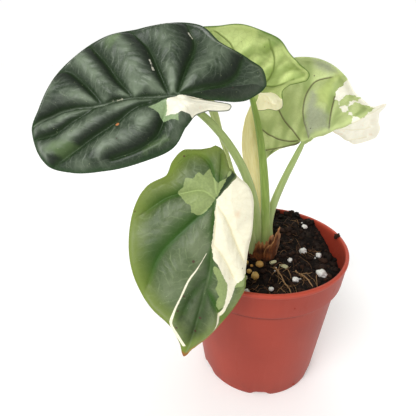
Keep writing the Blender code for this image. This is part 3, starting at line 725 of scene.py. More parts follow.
def leaf_finish(name, look):
    """A leaf's two faces: quilted panels over sunken veins above, with painted highlights on the panel crests and
    painted shade on their steep flanks and in the valleys; paler ribs below, with painted light on the wrinkles and
    panel middles; cream and sage areas; and a faint painted glow for light shining through.
    """
    # The emission is a faint painted glow that stands in for light shining through the blade.
    leaf = Finish(name, {"Specular IOR Level": look["specular"], "Emission Strength": look["painted_glow_strength"]})
    flat = leaf.attribute("flat", "Vector")
    upper, vein, rib, share, edge, flank, deep, run = (
        leaf.attribute(words)
        for words in ("upper", "vein_gap", "rib_gap", "panel_share", "edge_gap", "flank", "deep", "streak_run")
    )
    broad = leaf.noise(flat, 0.10, 3.0, 0.5)
    patch = leaf.noise(flat, 0.32, 4.0, 0.6)
    fine = leaf.noise(flat, 1.6, 4.0, 0.6)
    sway = leaf.noise(flat, 0.22, 2.0, 0.5)
    jag = leaf.noise(flat, 0.42, 6.0, 0.68, 0.4) - 0.5
    drift = patch - 0.5

    thread_place = ((leaf.attribute("side_vein") + sway * 5.0) / 3.1).part() - 0.5
    thread = (thread_place.size() * 3.1).step(0.0, 0.42, 1.0, 0.0)
    thread = thread * share.step(0.10, 0.35) * edge.step(0.5, 3.0) * patch.step(0.34, 0.60)
    net = leaf.cells(flat, 0.62, "DISTANCE_TO_EDGE").step(0.02, 0.10, 1.0, 0.0)
    panel = leaf.coats(
        look["panel"],
        # Paler panel crests: painted highlight.
        (share.step(0.15, 1.0) * broad.step(0.3, 0.65), look["painted_highlight_panel"]),
        (patch.step(0.55, 0.75) * 0.35, look["panel"]),
        (thread * 0.34, look["thread"]),
        (net * 0.10, look["thread"]),
        ((flank + drift * 0.25).step(0.10, 0.85, 0.0, look["shade_share"]), look["shade"]),
        # Darker in the sunken vein valleys: partly the veins' own dark green, partly painted shade.
        ((vein + (fine - 0.5) * 0.7).step(0.0, 1.5, 0.85, 0.0), look["valley"]),
        ((edge + (broad - 0.5) * 3.0).step(0.0, look["rim_width"], 0.80, 0.0), look["rim"]),
        (rib.step(0.10, 0.45, 0.60, 0.0) * broad.step(0.35, 0.55, 1.0, 0.4), look["thread"]),
        ((deep + drift * 2.0).step(-0.5, 1.5) * patch.step(0.25, 0.6, 0.95, 0.5), tinted(look["panel"], 0.62)),
    )
    under = leaf.coats(
        look["under"],
        # The first two coats are painted light on the underside's wrinkles and panel middles; the pale margin line and
        # ribs below use the same pale colour.
        ((leaf.attribute("wrinkle") + (broad - 0.5) * 0.8).step(-0.45, 0.50), look["pale_and_highlight_under"]),
        (share.step(0.0, 0.8, 0.0, 0.25), look["pale_and_highlight_under"]),
        (net * 0.16, look["under"]),
        ((vein + (fine - 0.5) * 0.2).step(0.10, 0.55, 0.85, 0.0), look["under_vein"]),
        ((edge - 1.1).size().step(0.2, 0.9, 0.55, 0.0), look["pale_and_highlight_under"]),
        (rib.step(0.4, 1.6, 0.8, 0.0), look["pale_and_highlight_under"]),
    )

    soft = 0.06 if look["patch"] == 1.0 else 1.8
    sage_mask = (leaf.attribute("sage") + jag * look["jag"]).step(-soft, soft, 0.0, look["patch"])
    sage = leaf.coats(
        look["sage"],
        (fine.step(0.3, 0.7), tinted(look["sage"], 1.22)),
        (vein.step(0.05, 0.4, 0.6, 0.0), tinted(look["sage"], 1.6)),
    )
    ragged = 0.25 if look["streak_share"] == 1.0 else 1.3
    width = run.step(0.0, 0.30, 0.07, 0.24) + run.step(0.5, 0.9, 0.0, 0.36) + jag * ragged
    streak = (width - leaf.attribute("streak").size()).step(-0.06, 0.06, 0.0, look["streak_share"])
    streak = streak * run.step(0.002, 0.01) * run.step(0.985, 0.998, 1.0, 0.0)
    bays = drift * (3.2 if look["jag"] > 2 else 0.0)
    cream_mask = (leaf.attribute("cream") + jag * look["jag"] + bays).step(-0.06, 0.06).high(streak)
    crease = tuple(part * tint for part, tint in zip(look["cream"], (0.80, 0.76, 0.58)))
    cream = leaf.coats(
        look["cream"],
        (broad.step(0.35, 0.65), tinted(look["cream"], 0.93)),
        (vein.step(0.0, 0.45, 0.55, 0.0), crease),
        (net * 0.12, crease),
        (patch.step(0.60, 0.72) * 0.30, (0.72, 0.47, 0.26)),
    )

    fleck = leaf.noise(flat, 2.3, 2.0, 0.5).step(0.66, 0.70) * patch.step(0.57, 0.62)
    colour = leaf.coats(
        under,
        (upper, panel),
        (sage_mask, sage),
        (cream_mask, cream),
        ((leaf.attribute("glow") + drift * 3.0).step(-1.0, 1.6, 0.0, 0.55), look["glow"]),
        ((edge + jag * 0.2).step(0.16, 0.42, 0.85, 0.0), look["outline"]),
        (fleck * 0.55 * upper, (0.42, 0.50, 0.26)),
        (leaf.cells(flat, 0.10).step(0.022, 0.036, 0.7, 0.0), (0.050, 0.022, 0.014)),
        (near_spots(leaf, flat, look["spots"]) * 0.85, (0.060, 0.012, 0.010)),
        (near_spots(leaf, flat, look["rust"]) * 0.9, (0.62, 0.24, 0.09)),
    )
    if name.startswith("blade_front"):
        reach = leaf.node("ShaderNodeSeparateXYZ", {}, {0: flat}, "X") + jag * 1.2
        aside = leaf.node("ShaderNodeSeparateXYZ", {}, {0: flat}, "Y")
        tan_edge = (edge + jag * 0.6).step(0.1, 0.9, 0.8, 0.0) * reach.step(34.0, 41.0) * aside.step(-3.0, -1.5)
        wedge = deep.step(-0.3, 0.5) * reach.step(-1.5, 0.5, 0.9, 0.0) * upper
        colour = leaf.coats(
            colour,
            (wedge * (1 - cream_mask) * (1 - sage_mask), (0.010, 0.028, 0.006)),
            (tan_edge, (0.42, 0.24, 0.07)),
            (reach.step(*FLAT_TIP), (0.30, 0.11, 0.025)),
        )

    rough = leaf.blend(upper, 0.58, look["gloss"]) + (fine - 0.5) * 0.16 + cream_mask * 0.1
    rough = rough + flank.step(0.2, 0.9, 0.0, 0.35) * upper + edge.step(0.3, 2.6, 0.34, 0.0)
    return leaf.done(colour, rough, thread * 0.5 + fine * 0.35 + net * 0.25, 0.00012, 0.6)


# ---------------------------------------------------------------- stalks


def bezier(start, first, last, end, share):
    """The point at a share of the way along a cubic Bezier curve."""
    rest = 1 - share
    return (
        start * rest ** 3 + first * (3 * rest * rest * share) + last * (3 * rest * share * share) + end * share ** 3
    )


def sweep(bm, route, radii, sides, section=None):
    """Carry a ring along a route and close its ends; each point's turn round the route and reach along it."""
    places = [Vector(point) for point in route]
    last = len(places) - 1
    right = (places[1] - places[0]).orthogonal().normalized()
    ring = bmesh.ops.create_circle(bm, cap_ends=True, segments=sides, radius=1)["verts"]
    angles = [atan2(vert.co.y, vert.co.x) for vert in ring]
    turn = []
    along = []
    run = 0.0
    for index, place in enumerate(places):
        ahead = (places[min(index + 1, last)] - places[max(index - 1, 0)]).normalized()
        right = (right - ahead * right.dot(ahead)).normalized()
        front = ahead.cross(right)
        if index:
            run += (place - places[index - 1]).length
            ring = next_ring(bm, ring)
        for vert, angle in zip(ring, angles):
            reach = radii[index] * (section(angle, index / last) if section else 1)
            vert.co = place + right * (reach * cos(angle)) + front * (reach * sin(angle))
        turn += angles
        along += [run] * sides
    bmesh.ops.contextual_create(bm, geom=ring)
    return turn, along


def next_ring(bm, ring):
    """Grow the next ring of points out of a ring, in the same order."""
    held = set(ring)
    edges = {edge for vert in ring for edge in vert.link_edges if edge.other_vert(vert) in held}
    grown = bmesh.ops.extrude_edge_only(bm, edges=list(edges))["geom"]
    fresh = {item for item in grown if isinstance(item, bmesh.types.BMVert)}
    pairs = [[edge.other_vert(vert) for edge in vert.link_edges if edge.other_vert(vert) in fresh] for vert in ring]
    return [pair[0] for pair in pairs]


def smooth_route(start, first, last, end, steps):
    """Points along a Bezier curve."""
    return [bezier(start, first, last, end, index / steps) for index in range(steps + 1)]


STALKS = {
    "stalk_left": {
        "blade": "blade_left", "foot": (-0.60, 0.22), "rise": (1.0, 1.0, 26.0), "arrive": (14.0, 3.3, -7.4),
        "radii": (2.0, 1.75, 1.7, 1.6, 1.45, 1.3, 1.05),
    },
    "stalk_front": {
        "blade": "blade_front", "foot": (-1.20, -0.60), "rise": (-1.6, -3.8, 18.0), "arrive": (-2.4, 6.5, -4.5),
        "radii": (1.9, 1.7, 1.6, 1.5, 1.4, 1.3, 1.0),
    },
    "stalk_back": {
        "blade": "blade_back", "foot": (0.43, 0.54), "rise": (0.2, 6.0, 21.0), "arrive": (4.8, -5.5, -15.4),
        "radii": (2.2, 1.95, 1.8, 1.65, 1.5, 1.3, 1.05),
    },
    "stalk_right": {
        "blade": "blade_right", "foot": (0.95, 1.70), "rise": (-1.0, 4.0, 9.0), "arrive": (-7.0, -8.0, -11.0),
        "radii": (2.0, 1.8, 1.7, 1.6, 1.5, 1.4, 1.2),
    },
}
THIN_LEAF = {
    "foot": (-0.92, 1.05), "rise": (-6.0, 1.4, 20.0), "arrive": (5.4, -1.0, -18.0), "end": (-22.5, 8.2, 68.0),
    "radii": (1.1, 0.95, 0.9, 0.85, 0.85, 0.85, 0.85, 0.85, 0.9, 1.1, 1.5, 1.6, 1.1, 0.25),
}
FURLED_LEAF = {
    "foot": (-0.10, 2.35), "rise": (1.6, 3.5, 18.0), "arrive": (-1.6, -3.0, -20.0), "end": (-3.2, 22.0, 56.0),
    "radii": (1.6, 1.6, 1.7, 1.9, 2.4, 3.0, 3.6, 4.1, 4.3, 4.2, 3.6, 2.5, 0.5),
}
BURY = 6.5


def foot_point(foot):
    """Where a stalk stands on the stem, from its place in stalk pitches."""
    return Vector((foot[0] * STALK_PITCH, foot[1] * STALK_PITCH, STALK_Z))


def buried(route, lean):
    """A route carried down from its foot into the stem, towards the stem's middle."""
    foot = route[0]
    middle = Vector((*STEM_CENTRE, foot.z))
    low = foot.lerp(middle, lean) - Vector((0, 0, BURY))
    return [foot.lerp(low, share) for share in (1, 0.8, 0.6, 0.4, 0.2)] + route


def grain_measures(item, turn, along, girth, stretch):
    """What a stalk-like piece's finish reads: a place that runs round and along it, and the way from its foot."""
    turn = np.array(turn)
    along = np.array(along)
    measure_place(item, "grain", np.stack([girth * np.cos(turn), girth * np.sin(turn), along * stretch], -1))
    measure(item, "along", along)


def fleshy_piece(name, route, radii, sides, section, finish, slot):
    """A stalk-like piece along a route, with the measures that its finish reads."""
    bm = bmesh.new()
    spread = np.interp(np.linspace(0, 1, len(route)), np.linspace(0, 1, len(radii)), radii)
    turn, along = sweep(bm, route, spread, sides, section)
    bmesh.ops.recalc_face_normals(bm, faces=bm.faces)
    grain_measures(piece(name, bm, finish, slot, name.replace("_flesh", "")), turn, along, 1, 0.045)


def stalk_section(angle, share):
    """A stalk's outline: round above, channelled on its inner side near the foot."""
    foot = 1 - smooth_step(share, 0.0, 0.45)
    return 1 + 0.015 * cos(3 * angle + 1) + 0.025 * foot * cos(5 * angle)


def rolled_section(angle, share):
    """A rolled leaf's outline: flattened, with the roll's loose edge standing out along it."""
    seam = ((angle / (2 * pi) + 0.15 + 0.12 * share) % 1.0)
    open_part = smooth_step(share, 0.25, 0.6)
    return (1 + 0.16 * open_part * (seam - 0.5)) * (1 - 0.22 * open_part * cos(2 * angle) ** 2)


def stalk_pieces(finishes):
    """The four leaf stalks, running into the midribs under their blades."""
    for name, shape in STALKS.items():
        blade = BLADES[shape["blade"]]
        junction = blade_junction(blade)
        columns = blade_frame(blade)
        face = columns.col[2]
        under = junction - face * 1.1
        start = foot_point(shape["foot"])
        route = smooth_route(start, start + Vector(shape["rise"]), junction + Vector(shape["arrive"]), under, 44)
        run_in = [under + columns.col[0] * reach + face * (0.06 * reach) for reach in (0.8, 1.8, 3.0, 4.4)]
        radii = list(shape["radii"]) + [0.55]
        fleshy_piece(name + "_flesh", buried(route, 0.35) + run_in, radii, 24, stalk_section, finishes[name], "stalk")


def young_leaf_pieces(finishes):
    """The thin young leaf and the pale furled one."""
    for name, shape, slot in (
        ("thin_young_leaf", THIN_LEAF, "stalk"), ("furled_leaf", FURLED_LEAF, "young_leaf"),
    ):
        start = foot_point(shape["foot"])
        end = Vector(shape["end"]) + Vector((0, 0, SOIL_Z))
        route = smooth_route(start, start + Vector(shape["rise"]), end + Vector(shape["arrive"]), end, 56)
        section = rolled_section
        fleshy_piece(name + "_flesh", buried(route, 0.3), shape["radii"], 32, section, finishes[name], slot)


# Each stalk's body, light streaks and foot.
STALK_TONES = {
    "stalk_left": ((0.25, 0.33, 0.10), (0.40, 0.48, 0.19), (0.40, 0.48, 0.20)),
    "stalk_front": ((0.26, 0.34, 0.11), (0.40, 0.48, 0.19), (0.42, 0.50, 0.22)),
    "stalk_back": ((0.16, 0.25, 0.035), (0.32, 0.43, 0.10), (0.38, 0.46, 0.17)),
    "stalk_right": ((0.28, 0.38, 0.12), (0.44, 0.52, 0.22), (0.36, 0.44, 0.17)),
    "thin_young_leaf": ((0.40, 0.48, 0.16), (0.56, 0.60, 0.26), (0.36, 0.44, 0.17)),
}


def stalk_finish(name, body, light, foot, speckle):
    """Juicy stalk: long pale streaks, painted highlight lines near a paler foot, a few fine dark freckles and a faint
    painted glow.
    """
    # The faint emission is a painted glow.
    stalk = Finish(name, {"Specular IOR Level": 0.4, "Emission Strength": 0.08})
    grain = stalk.attribute("grain", "Vector")
    along = stalk.attribute("along")
    streak = stalk.noise(grain, 3.2, 4.0, 0.6)
    cloudy = stalk.noise(stalk.stretched(grain, 1, 1, 3), 1.4, 2.0, 0.5)
    fine = stalk.noise(stalk.stretched(grain, 5, 5, 40), 2.0, 3.0, 0.6)
    colour = stalk.coats(
        body,
        (streak.step(0.15, 0.85), light),
        (cloudy.step(0.35, 0.75) * 0.4, body),
        (along.step(3.0, 22.0, 0.75, 0.0), foot),
        # Pale lines near the foot: painted highlights.
        (streak.step(0.58, 0.68) * along.step(4.0, 30.0, 0.6, 0.0), (0.66, 0.68, 0.44)),
        (fine.step(0.70, 0.74) * speckle, tinted(body, 0.55)),
    )
    return stalk.done(colour, 0.38 + fine * 0.15, streak * 0.5 + fine * 0.3, 0.0001, 0.3)


def furled_finish():
    """Pale yellow rolled leaf with greener veins along it and two small brown nubs of dry tissue."""
    # The emission is a painted glow.
    leaf = Finish("furled_leaf_skin", {"Specular IOR Level": 0.35, "Emission Strength": 0.12})
    grain = leaf.attribute("grain", "Vector")
    along = leaf.attribute("along")
    streak = leaf.noise(leaf.stretched(grain, 1.6, 1.6, 1), 4.0, 4.0, 0.6)
    patch = leaf.noise(leaf.place(), 160, 3.0, 0.6)
    colour = leaf.coats(
        (0.78, 0.66, 0.26),
        (streak.step(0.25, 0.78), (0.92, 0.84, 0.48)),
        (patch.step(0.45, 0.75) * 0.25, (0.70, 0.62, 0.24)),
        (along.step(6.0, 20.0, 0.8, 0.0), (0.36, 0.42, 0.15)),
        (patch.step(0.72, 0.78) * 0.8, (0.16, 0.10, 0.04)),
    )
    return leaf.done(colour, 0.45 + streak * 0.15, streak, 0.00012, 0.35)


# ---------------------------------------------------------------- stem and sheath


def stem_piece(finish):
    """The short stem: a ribbed, slightly waisted foot that the stalks grow out of."""
    bm = bmesh.new()
    middle = Vector((*STEM_CENTRE, 0))
    route = [middle + Vector((0, 0, z)) for z in np.linspace(50.5, 57.0, 16)]
    radii = [0.98, 1.0, 1.0, 0.98, 0.95, 0.92, 0.89, 0.87, 0.86, 0.85, 0.84, 0.82, 0.78, 0.70, 0.55, 0.30]
    turn, along = sweep(bm, route, radii, 72)
    for vert, angle, run in zip(bm.verts, turn, along):
        rib = 1 + 0.05 * cos(9 * angle + 0.3 * run) + 0.03 * cos(23 * angle)
        vert.co.x = STEM_CENTRE[0] + (vert.co.x - STEM_CENTRE[0]) * STEM_RADII[0] * rib
        vert.co.y = STEM_CENTRE[1] + (vert.co.y - STEM_CENTRE[1]) * STEM_RADII[1] * rib
    bmesh.ops.recalc_face_normals(bm, faces=bm.faces)
    grain_measures(piece("stem_foot", bm, finish, "stem", "stem_base"), turn, np.array(along) * 1.5, 3, 0.05 / 1.5)


def stem_point(angle, grow, z):
    """A point round the stem's oval at a level, grow outside its side."""
    return Vector((
        STEM_CENTRE[0] + (STEM_RADII[0] + grow) * cos(angle),
        STEM_CENTRE[1] + (STEM_RADII[1] + grow) * sin(angle),
        z,
    ))


# Each dry flap: where it starts round the stem and how far it goes, in degrees, its height, lean and gap.
FLAPS = [(-150, 92, 11.5, 0.2, 0.5), (-122, 88, 15.5, 0.4, 0.9), (-88, 78, 17.0, 0.9, 1.3)]


def sheath_piece(finish):
    """Torn papery flaps of old sheath, one over another, crinkled and ragged on top."""
    bm = bmesh.new()
    tone = []
    for index, (start, sweep_angle, height, lean, gap) in enumerate(FLAPS):
        grid = bmesh.ops.create_grid(bm, x_segments=40, y_segments=18, size=1)["verts"]
        for vert in grid:
            across = (vert.co.x + 1) / 2
            up = (vert.co.y + 1) / 2
            angle = radians(start + sweep_angle * across)
            ragged = 0.74 + 0.16 * sin(9 * across + index) + 0.10 * noise.noise(Vector((14 * across, index, 2)))
            peak = max(0.05, sin(pi * (0.05 + 0.9 * across))) ** 0.6
            crinkle = 0.35 * noise.noise(Vector((9 * across, 1.6 * up, 5 + index)))
            crinkle += 0.12 * sin(46 * across + 3 * up)
            z = SOIL_Z - 0.6 + up * height * ragged * peak
            vert.co = stem_point(angle, gap + crinkle + lean * up ** 2.2, z)
            tone.append((across, up))
    item = piece("sheath_flaps", bm, finish, "sheath", "sheath")
    across, up = np.array(tone).T
    measure(item, "across", across)
    measure(item, "up", up)
    shell = item.modifiers.new("paper", "SOLIDIFY")
    shell.thickness = 0.28 * MM
    shell.offset = 0


def sheath_finish():
    """Dry sheath: orange-brown paper with dark fibres, paler torn edges and a painted highlight band across each flap.
    """
    paper = Finish("dry_sheath", {"Specular IOR Level": 0.35})
    across = paper.attribute("across")
    up = paper.attribute("up")
    place = paper.place()
    patch = paper.noise(place, 260, 4.0, 0.6)
    fibre = paper.noise(paper.stretched(place, 1.0, 1.0, 0.18), 1900, 3.0, 0.6)
    colour = paper.coats(
        (0.085, 0.026, 0.010),
        (patch.step(0.35, 0.65), (0.33, 0.105, 0.028)),
        (fibre.step(0.45, 0.7) * 0.6, (0.045, 0.014, 0.007)),
        ((up + (patch - 0.5) * 0.5).step(0.75, 1.0) * 0.7, (0.50, 0.24, 0.09)),
        # A pale band part way across each flap: painted highlight.
        ((across + (patch - 0.5) * 0.6).step(0.62, 0.72) * 0.25, (0.55, 0.36, 0.24)),
    )
    return paper.done(colour, 0.62 + fibre * 0.25, fibre + patch * 0.5, 0.0002, 0.8)


# ---------------------------------------------------------------- pot


def rounded(points, radius, steps):
    """A profile with its corners rounded off."""
    made = [points[0]]
    for before, corner, after in zip(points, points[1:], points[2:]):
        corner = Vector(corner)
        back = Vector(before) - corner
        on = Vector(after) - corner
        cut = min(radius, 0.45 * back.length, 0.45 * on.length)
        start = corner + back.normalized() * cut
        end = corner + on.normalized() * cut
        for index in range(steps + 1):
            share = index / steps
            made.append(tuple(start.lerp(corner, share).lerp(corner.lerp(end, share), share)))
    return made + [points[-1]]


def along_profile(points, longest):
    """A profile with no stretch longer than a limit."""
    made = []
    for (ar, az), (br, bz) in zip(points, points[1:]):
        parts = max(1, int(hypot(br - ar, bz - az) / longest))
        made += [(ar + (br - ar) * part / parts, az + (bz - az) * part / parts) for part in range(parts)]
    return made + [points[-1]]


def pot_inner_radius(z):
    """The pot's inner radius at height z."""
    mouth = POT_RIM_RADIUS - POT_WALL
    ledge = POT_HEIGHT - COLLAR_HEIGHT
    above = mouth - COLLAR_DRAFT
    levels = [POT_WALL, ledge - COLLAR_STEP, ledge, POT_HEIGHT]
    return float(np.interp(z, levels, [POT_BASE_RADIUS - POT_WALL, above - COLLAR_STEP, above, mouth]))


def pot_piece(finish):
    """The moulded pot: a thin tapered wall, a deeper collar, a rolled lip and scalloped drain notches."""
    rim = POT_RIM_RADIUS
    ledge = POT_HEIGHT - COLLAR_HEIGHT
    below = rim - COLLAR_DRAFT
    mouth = rim - POT_WALL
    above = mouth - COLLAR_DRAFT
    outer = [(0, 0.5), (POT_BASE_RADIUS - 3.2, 0.5), (POT_BASE_RADIUS - 2.6, 0), (POT_BASE_RADIUS, 0)]
    outer += [(below - COLLAR_STEP, ledge - 0.2), (below - 0.2, ledge + 0.3), (rim, POT_HEIGHT - 1.6)]
    outer += [(rim + 0.25, POT_HEIGHT - 1.3), (rim + 0.25, POT_HEIGHT), (mouth, POT_HEIGHT)]
    inner = [(above, ledge), (above - COLLAR_STEP, ledge - COLLAR_STEP), (POT_BASE_RADIUS - POT_WALL, POT_WALL)]
    profile = along_profile(rounded(outer + inner + [(0, POT_WALL)], 0.55, 4), 2.2)
    bm = bmesh.new()
    points = [bm.verts.new((radius, 0, z)) for radius, z in profile]
    edges = [bm.edges.new(pair) for pair in zip(points, points[1:])]
    bmesh.ops.spin(
        bm, geom=points + edges, cent=(0, 0, 0), axis=(0, 0, 1), angle=2 * pi, steps=180, use_merge=True
    )
    bmesh.ops.remove_doubles(bm, verts=bm.verts, dist=0.005)
    for vert in bm.verts:
        reach = hypot(vert.co.x, vert.co.y)
        if vert.co.z < NOTCH_ZONE and reach > POT_BASE_RADIUS - 4:
            turn = (atan2(vert.co.y, vert.co.x) - NOTCH_FIRST_ANGLE) % (2 * pi / NOTCH_COUNT)
            off = min(turn, 2 * pi / NOTCH_COUNT - turn) * POT_BASE_RADIUS / (1.9 * NOTCH_RADIUS)
            lift = 1.5 * float(1 - smooth_step(off, 0.45, 1.0)) * float(smooth_step(reach, 20.8, 23.4))
            vert.co.z += lift * (1 - vert.co.z / NOTCH_ZONE)
        warp = 0.10 * sin(2 * atan2(vert.co.y, vert.co.x) + 0.8) * vert.co.z / POT_HEIGHT
        vert.co.x *= 1 + warp / rim
        vert.co.y *= 1 - warp / rim
    pips = [(radians(-60), 2.0, 0.5), (radians(-79), POT_HEIGHT - 6.5, 0.28)]
    for angle, z, size in pips:
        made = bmesh.ops.create_uvsphere(bm, u_segments=12, v_segments=8, radius=size)["verts"]
        reach = POT_BASE_RADIUS + (below - COLLAR_STEP - POT_BASE_RADIUS) * z / ledge if z < ledge else rim - 0.4
        bmesh.ops.scale(bm, vec=(1, 1, 1.2), verts=made)
        bmesh.ops.translate(bm, verts=made, vec=(reach * cos(angle), reach * sin(angle), z))
    bmesh.ops.recalc_face_normals(bm, faces=bm.faces)
    item = piece("pot_shell", bm, finish, "terracotta", "pot")
    item.data.set_sharp_from_angle(angle=radians(50))


def pot_finish():
    """Moulded terracotta-red plastic: satin, faintly grained, scuffed and dusty, darker in patches towards the foot,
    with fine dark specks.
    """
    pot = Finish("terracotta_plastic", {"Specular IOR Level": 0.3})
    place = pot.place()
    height = pot.node("ShaderNodeSeparateXYZ", {}, {0: place}, "Z")
    cloudy = pot.noise(place, 45, 3.0, 0.5)
    grain = pot.noise(place, 2600, 2.0, 0.5)
    drag = pot.noise(pot.stretched(place, 1, 1, 0.06), 420, 4.0, 0.65)
    scuff = pot.noise(pot.stretched(place, 1, 1, 0.35), 300, 5.0, 0.7, 0.8)
    colour = pot.coats(
        (0.29, 0.033, 0.017),
        (cloudy.step(0.3, 0.7), (0.34, 0.042, 0.022)),
        (drag.step(0.52, 0.78) * 0.20, (0.40, 0.075, 0.042)),
        (scuff.step(0.66, 0.74) * 0.25, (0.44, 0.13, 0.09)),
    )
    # A dark line just under the collar step: painted shadow.
    collar_shadow = ((height - COLLAR_SHADOW_Z * MM).size() + (scuff - 0.5) * 0.0005).step(0.0003, 0.0016, 0.8, 0.0)
    colour = pot.coats(
        colour,
        (collar_shadow, (0.11, 0.014, 0.008)),
        # A brighter, redder band along the lip: painted highlight.
        (height.step(0.0560, 0.0575) * 0.5, (0.56, 0.075, 0.038)),
    )
    low = (height + (cloudy - 0.5) * 0.012).step(0.0, 0.010, 0.35, 0.0)
    colour = pot.mix(low * scuff.step(0.35, 0.6), colour, (0.20, 0.040, 0.024))
    speck = pot.cells(place, 210).step(0.035, 0.060, 1.0, 0.0) * cloudy.step(0.52, 0.60)
    colour = pot.mix(speck * 0.7, colour, (0.12, 0.035, 0.024))
    rough = 0.42 + cloudy * 0.10 + grain * 0.08 + scuff.step(0.6, 0.74) * 0.16
    return pot.done(colour, rough, grain * 0.5 + drag * 0.5 + scuff * 0.4, 0.00008, 0.6)


# ---------------------------------------------------------------- soil and what lies on it


def soil_height(x, y):
    """The soil's level at (x, y): flat round the stem, clodded away from it, higher at the back."""
    out = hypot(x - STEM_CENTRE[0], y - STEM_CENTRE[1]) / POT_RIM_RADIUS
    away = float(smooth_step(out, 0.3, 0.6))
    slope = (0.75 * y - 0.66 * x) / POT_RIM_RADIUS
    back = float(smooth_step(slope, 0.1, 0.8))
    front = float(smooth_step(-slope, -0.2, 0.5))
    bump = noise.noise(Vector((x * 0.16, y * 0.16, 3.7)))
    level = SOIL_Z + away * (SOIL_BUMP * (bump - 0.3) + SOIL_BACK_RISE * back - SOIL_FRONT_FALL * front)
    bank = 4.0 * float(smooth_step(y, 2, 19)) + 1.8 * float(smooth_step(x, 4, 16) * smooth_step(y, 9, 21))
    level += bank * (1 - back)
    clod = noise.noise(Vector((x * 0.36, y * 0.36, 1.3)))
    crumb = noise.noise(Vector((x * 1.1, y * 1.1, 8.1)))
    grit = noise.noise(Vector((x * 3.1, y * 3.1, 4.4)))
    return level + 1.1 * clod * away + 0.75 * abs(crumb) - 0.2 + 0.25 * grit


def soil_piece(finish):
    """The soil: a filled body with a crumbly, clodded top."""
    bm = bmesh.new()
    a, b = disc_grid(bm, 170)
    for vert, u, v in zip(bm.verts, a, b):
        radius = pot_inner_radius(SOIL_Z) - SOIL_GAP
        z = soil_height(u * radius, v * radius)
        radius = pot_inner_radius(z) - SOIL_GAP
        vert.co = (u * radius, v * radius, z)
    edges = [edge for edge in bm.edges if edge.is_boundary]
    for z in (POT_HEIGHT - COLLAR_HEIGHT, POT_HEIGHT - COLLAR_HEIGHT - COLLAR_STEP, POT_WALL + 0.2):
        grown = bmesh.ops.extrude_edge_only(bm, edges=edges)["geom"]
        edges = [part for part in grown if isinstance(part, bmesh.types.BMEdge) and part.is_boundary]
        radius = pot_inner_radius(z) - SOIL_GAP
        for vert in (part for part in grown if isinstance(part, bmesh.types.BMVert)):
            angle = atan2(vert.co.y, vert.co.x)
            vert.co = (radius * cos(angle), radius * sin(angle), z)
    bmesh.ops.contextual_create(bm, geom=edges)
    bmesh.ops.recalc_face_normals(bm, faces=bm.faces)
    piece("soil_bed", bm, finish, "soil", "soil")


def soil_finish(name, dark, brown, warm):
    """Damp peat: near-black with brown crumbs and fibres."""
    peat = Finish(name, {"Specular IOR Level": 0.25})
    place = peat.place()
    clod = peat.noise(place, 260, 4.0, 0.65)
    crumb = peat.noise(place, 1100, 4.0, 0.7)
    fibre = peat.noise(peat.stretched(place, 1.0, 0.25, 1.0), 1500, 3.0, 0.6, 1.2)
    colour = peat.coats(
        dark,
        (clod.step(0.38, 0.68), brown),
        (crumb.step(0.55, 0.75) * 0.6, warm),
        (fibre.step(0.64, 0.72) * 0.5, tinted(warm, 1.8)),
    )
    return peat.done(colour, 0.95 - clod.step(0.5, 0.7) * 0.35, crumb + clod, 0.0004, 0.9)


def lump(bm, place, size, squash, rough, seed, detail=1):
    """A rounded, uneven lump; its number of points."""
    verts = bmesh.ops.create_icosphere(bm, subdivisions=detail, radius=1)["verts"]
    shift = Vector((seed * 1.7, seed * 0.9, seed * 0.3))
    turn = Matrix.Rotation(seed * 2.399, 3, "Z") @ Matrix.Rotation(seed * 1.3, 3, "X")
    for vert in verts:
        way = vert.co.normalized()
        grain = noise.noise(way * 1.4 + shift) + 0.45 * noise.noise(way * 3.7 + shift)
        reach = turn @ (way * (1 + rough * grain) * size)
        vert.co = place + Vector((reach.x, reach.y, reach.z * squash))
    return len(verts)


def on_soil(rng, inner, outer):
    """A random place on the soil between two distances from the pot's axis."""
    radius = (inner ** 2 + (outer ** 2 - inner ** 2) * rng.random()) ** 0.5
    angle = 2 * pi * rng.random()
    return radius * cos(angle), radius * sin(angle)


def clear_of_stem(x, y, gap):
    """Whether a place is outside the stem by a gap."""
    return hypot((x - STEM_CENTRE[0]) / (STEM_RADII[0] + gap), (y - STEM_CENTRE[1]) / (STEM_RADII[1] + gap)) > 1


def toned_piece(name, bm, finish, slot, tones, *nodes):
    """A finished piece of many small parts, each with its own tone on all its points."""
    measure(piece(name, bm, finish, slot, *nodes), "tone", np.concatenate(tones))


def crumbs(name, count, sizes, finish, slot, seed, outer=30.0, rough=0.5, squash=0.75):
    """Many small lumps scattered on the soil, each with its own tone."""
    rng = Random(seed)
    bm = bmesh.new()
    tone = []
    while len(tone) < count:
        x, y = on_soil(rng, 0, outer)
        size = sizes[0] + (sizes[1] - sizes[0]) * rng.random() ** 2.2
        shade = rng.random()
        if clear_of_stem(x, y, 1.0):
            place = Vector((x, y, soil_height(x, y) + 0.25 * size))
            points = lump(bm, place, size, squash, rough, rng.random() * 90)
            tone.append([shade] * points)
    toned_piece(name, bm, finish, slot, tone)


def few(name, places, rough, shape, finish, slot):
    """A few lumps at chosen places on the soil: x, y and size, stretched to a shape."""
    bm = bmesh.new()
    tone = []
    for index, (x, y, size, *level) in enumerate(places):
        place = Vector((x, y, *level)) if level else Vector((x, y, soil_height(x, y) + 0.6 * size))
        start = len(bm.verts)
        points = lump(bm, place, size, 1.0, rough, 5 * index + 2, 3)
        bm.verts.ensure_lookup_table()
        for vert in bm.verts[start:]:
            off = vert.co - place
            turned = Matrix.Rotation(0.5 - 1.1 * index, 3, "Z") @ Vector(a * b for a, b in zip(off, shape))
            vert.co = place + turned
        tone.append([index * 0.4 % 1.0] * points)
    toned_piece(name, bm, finish, slot, tone)


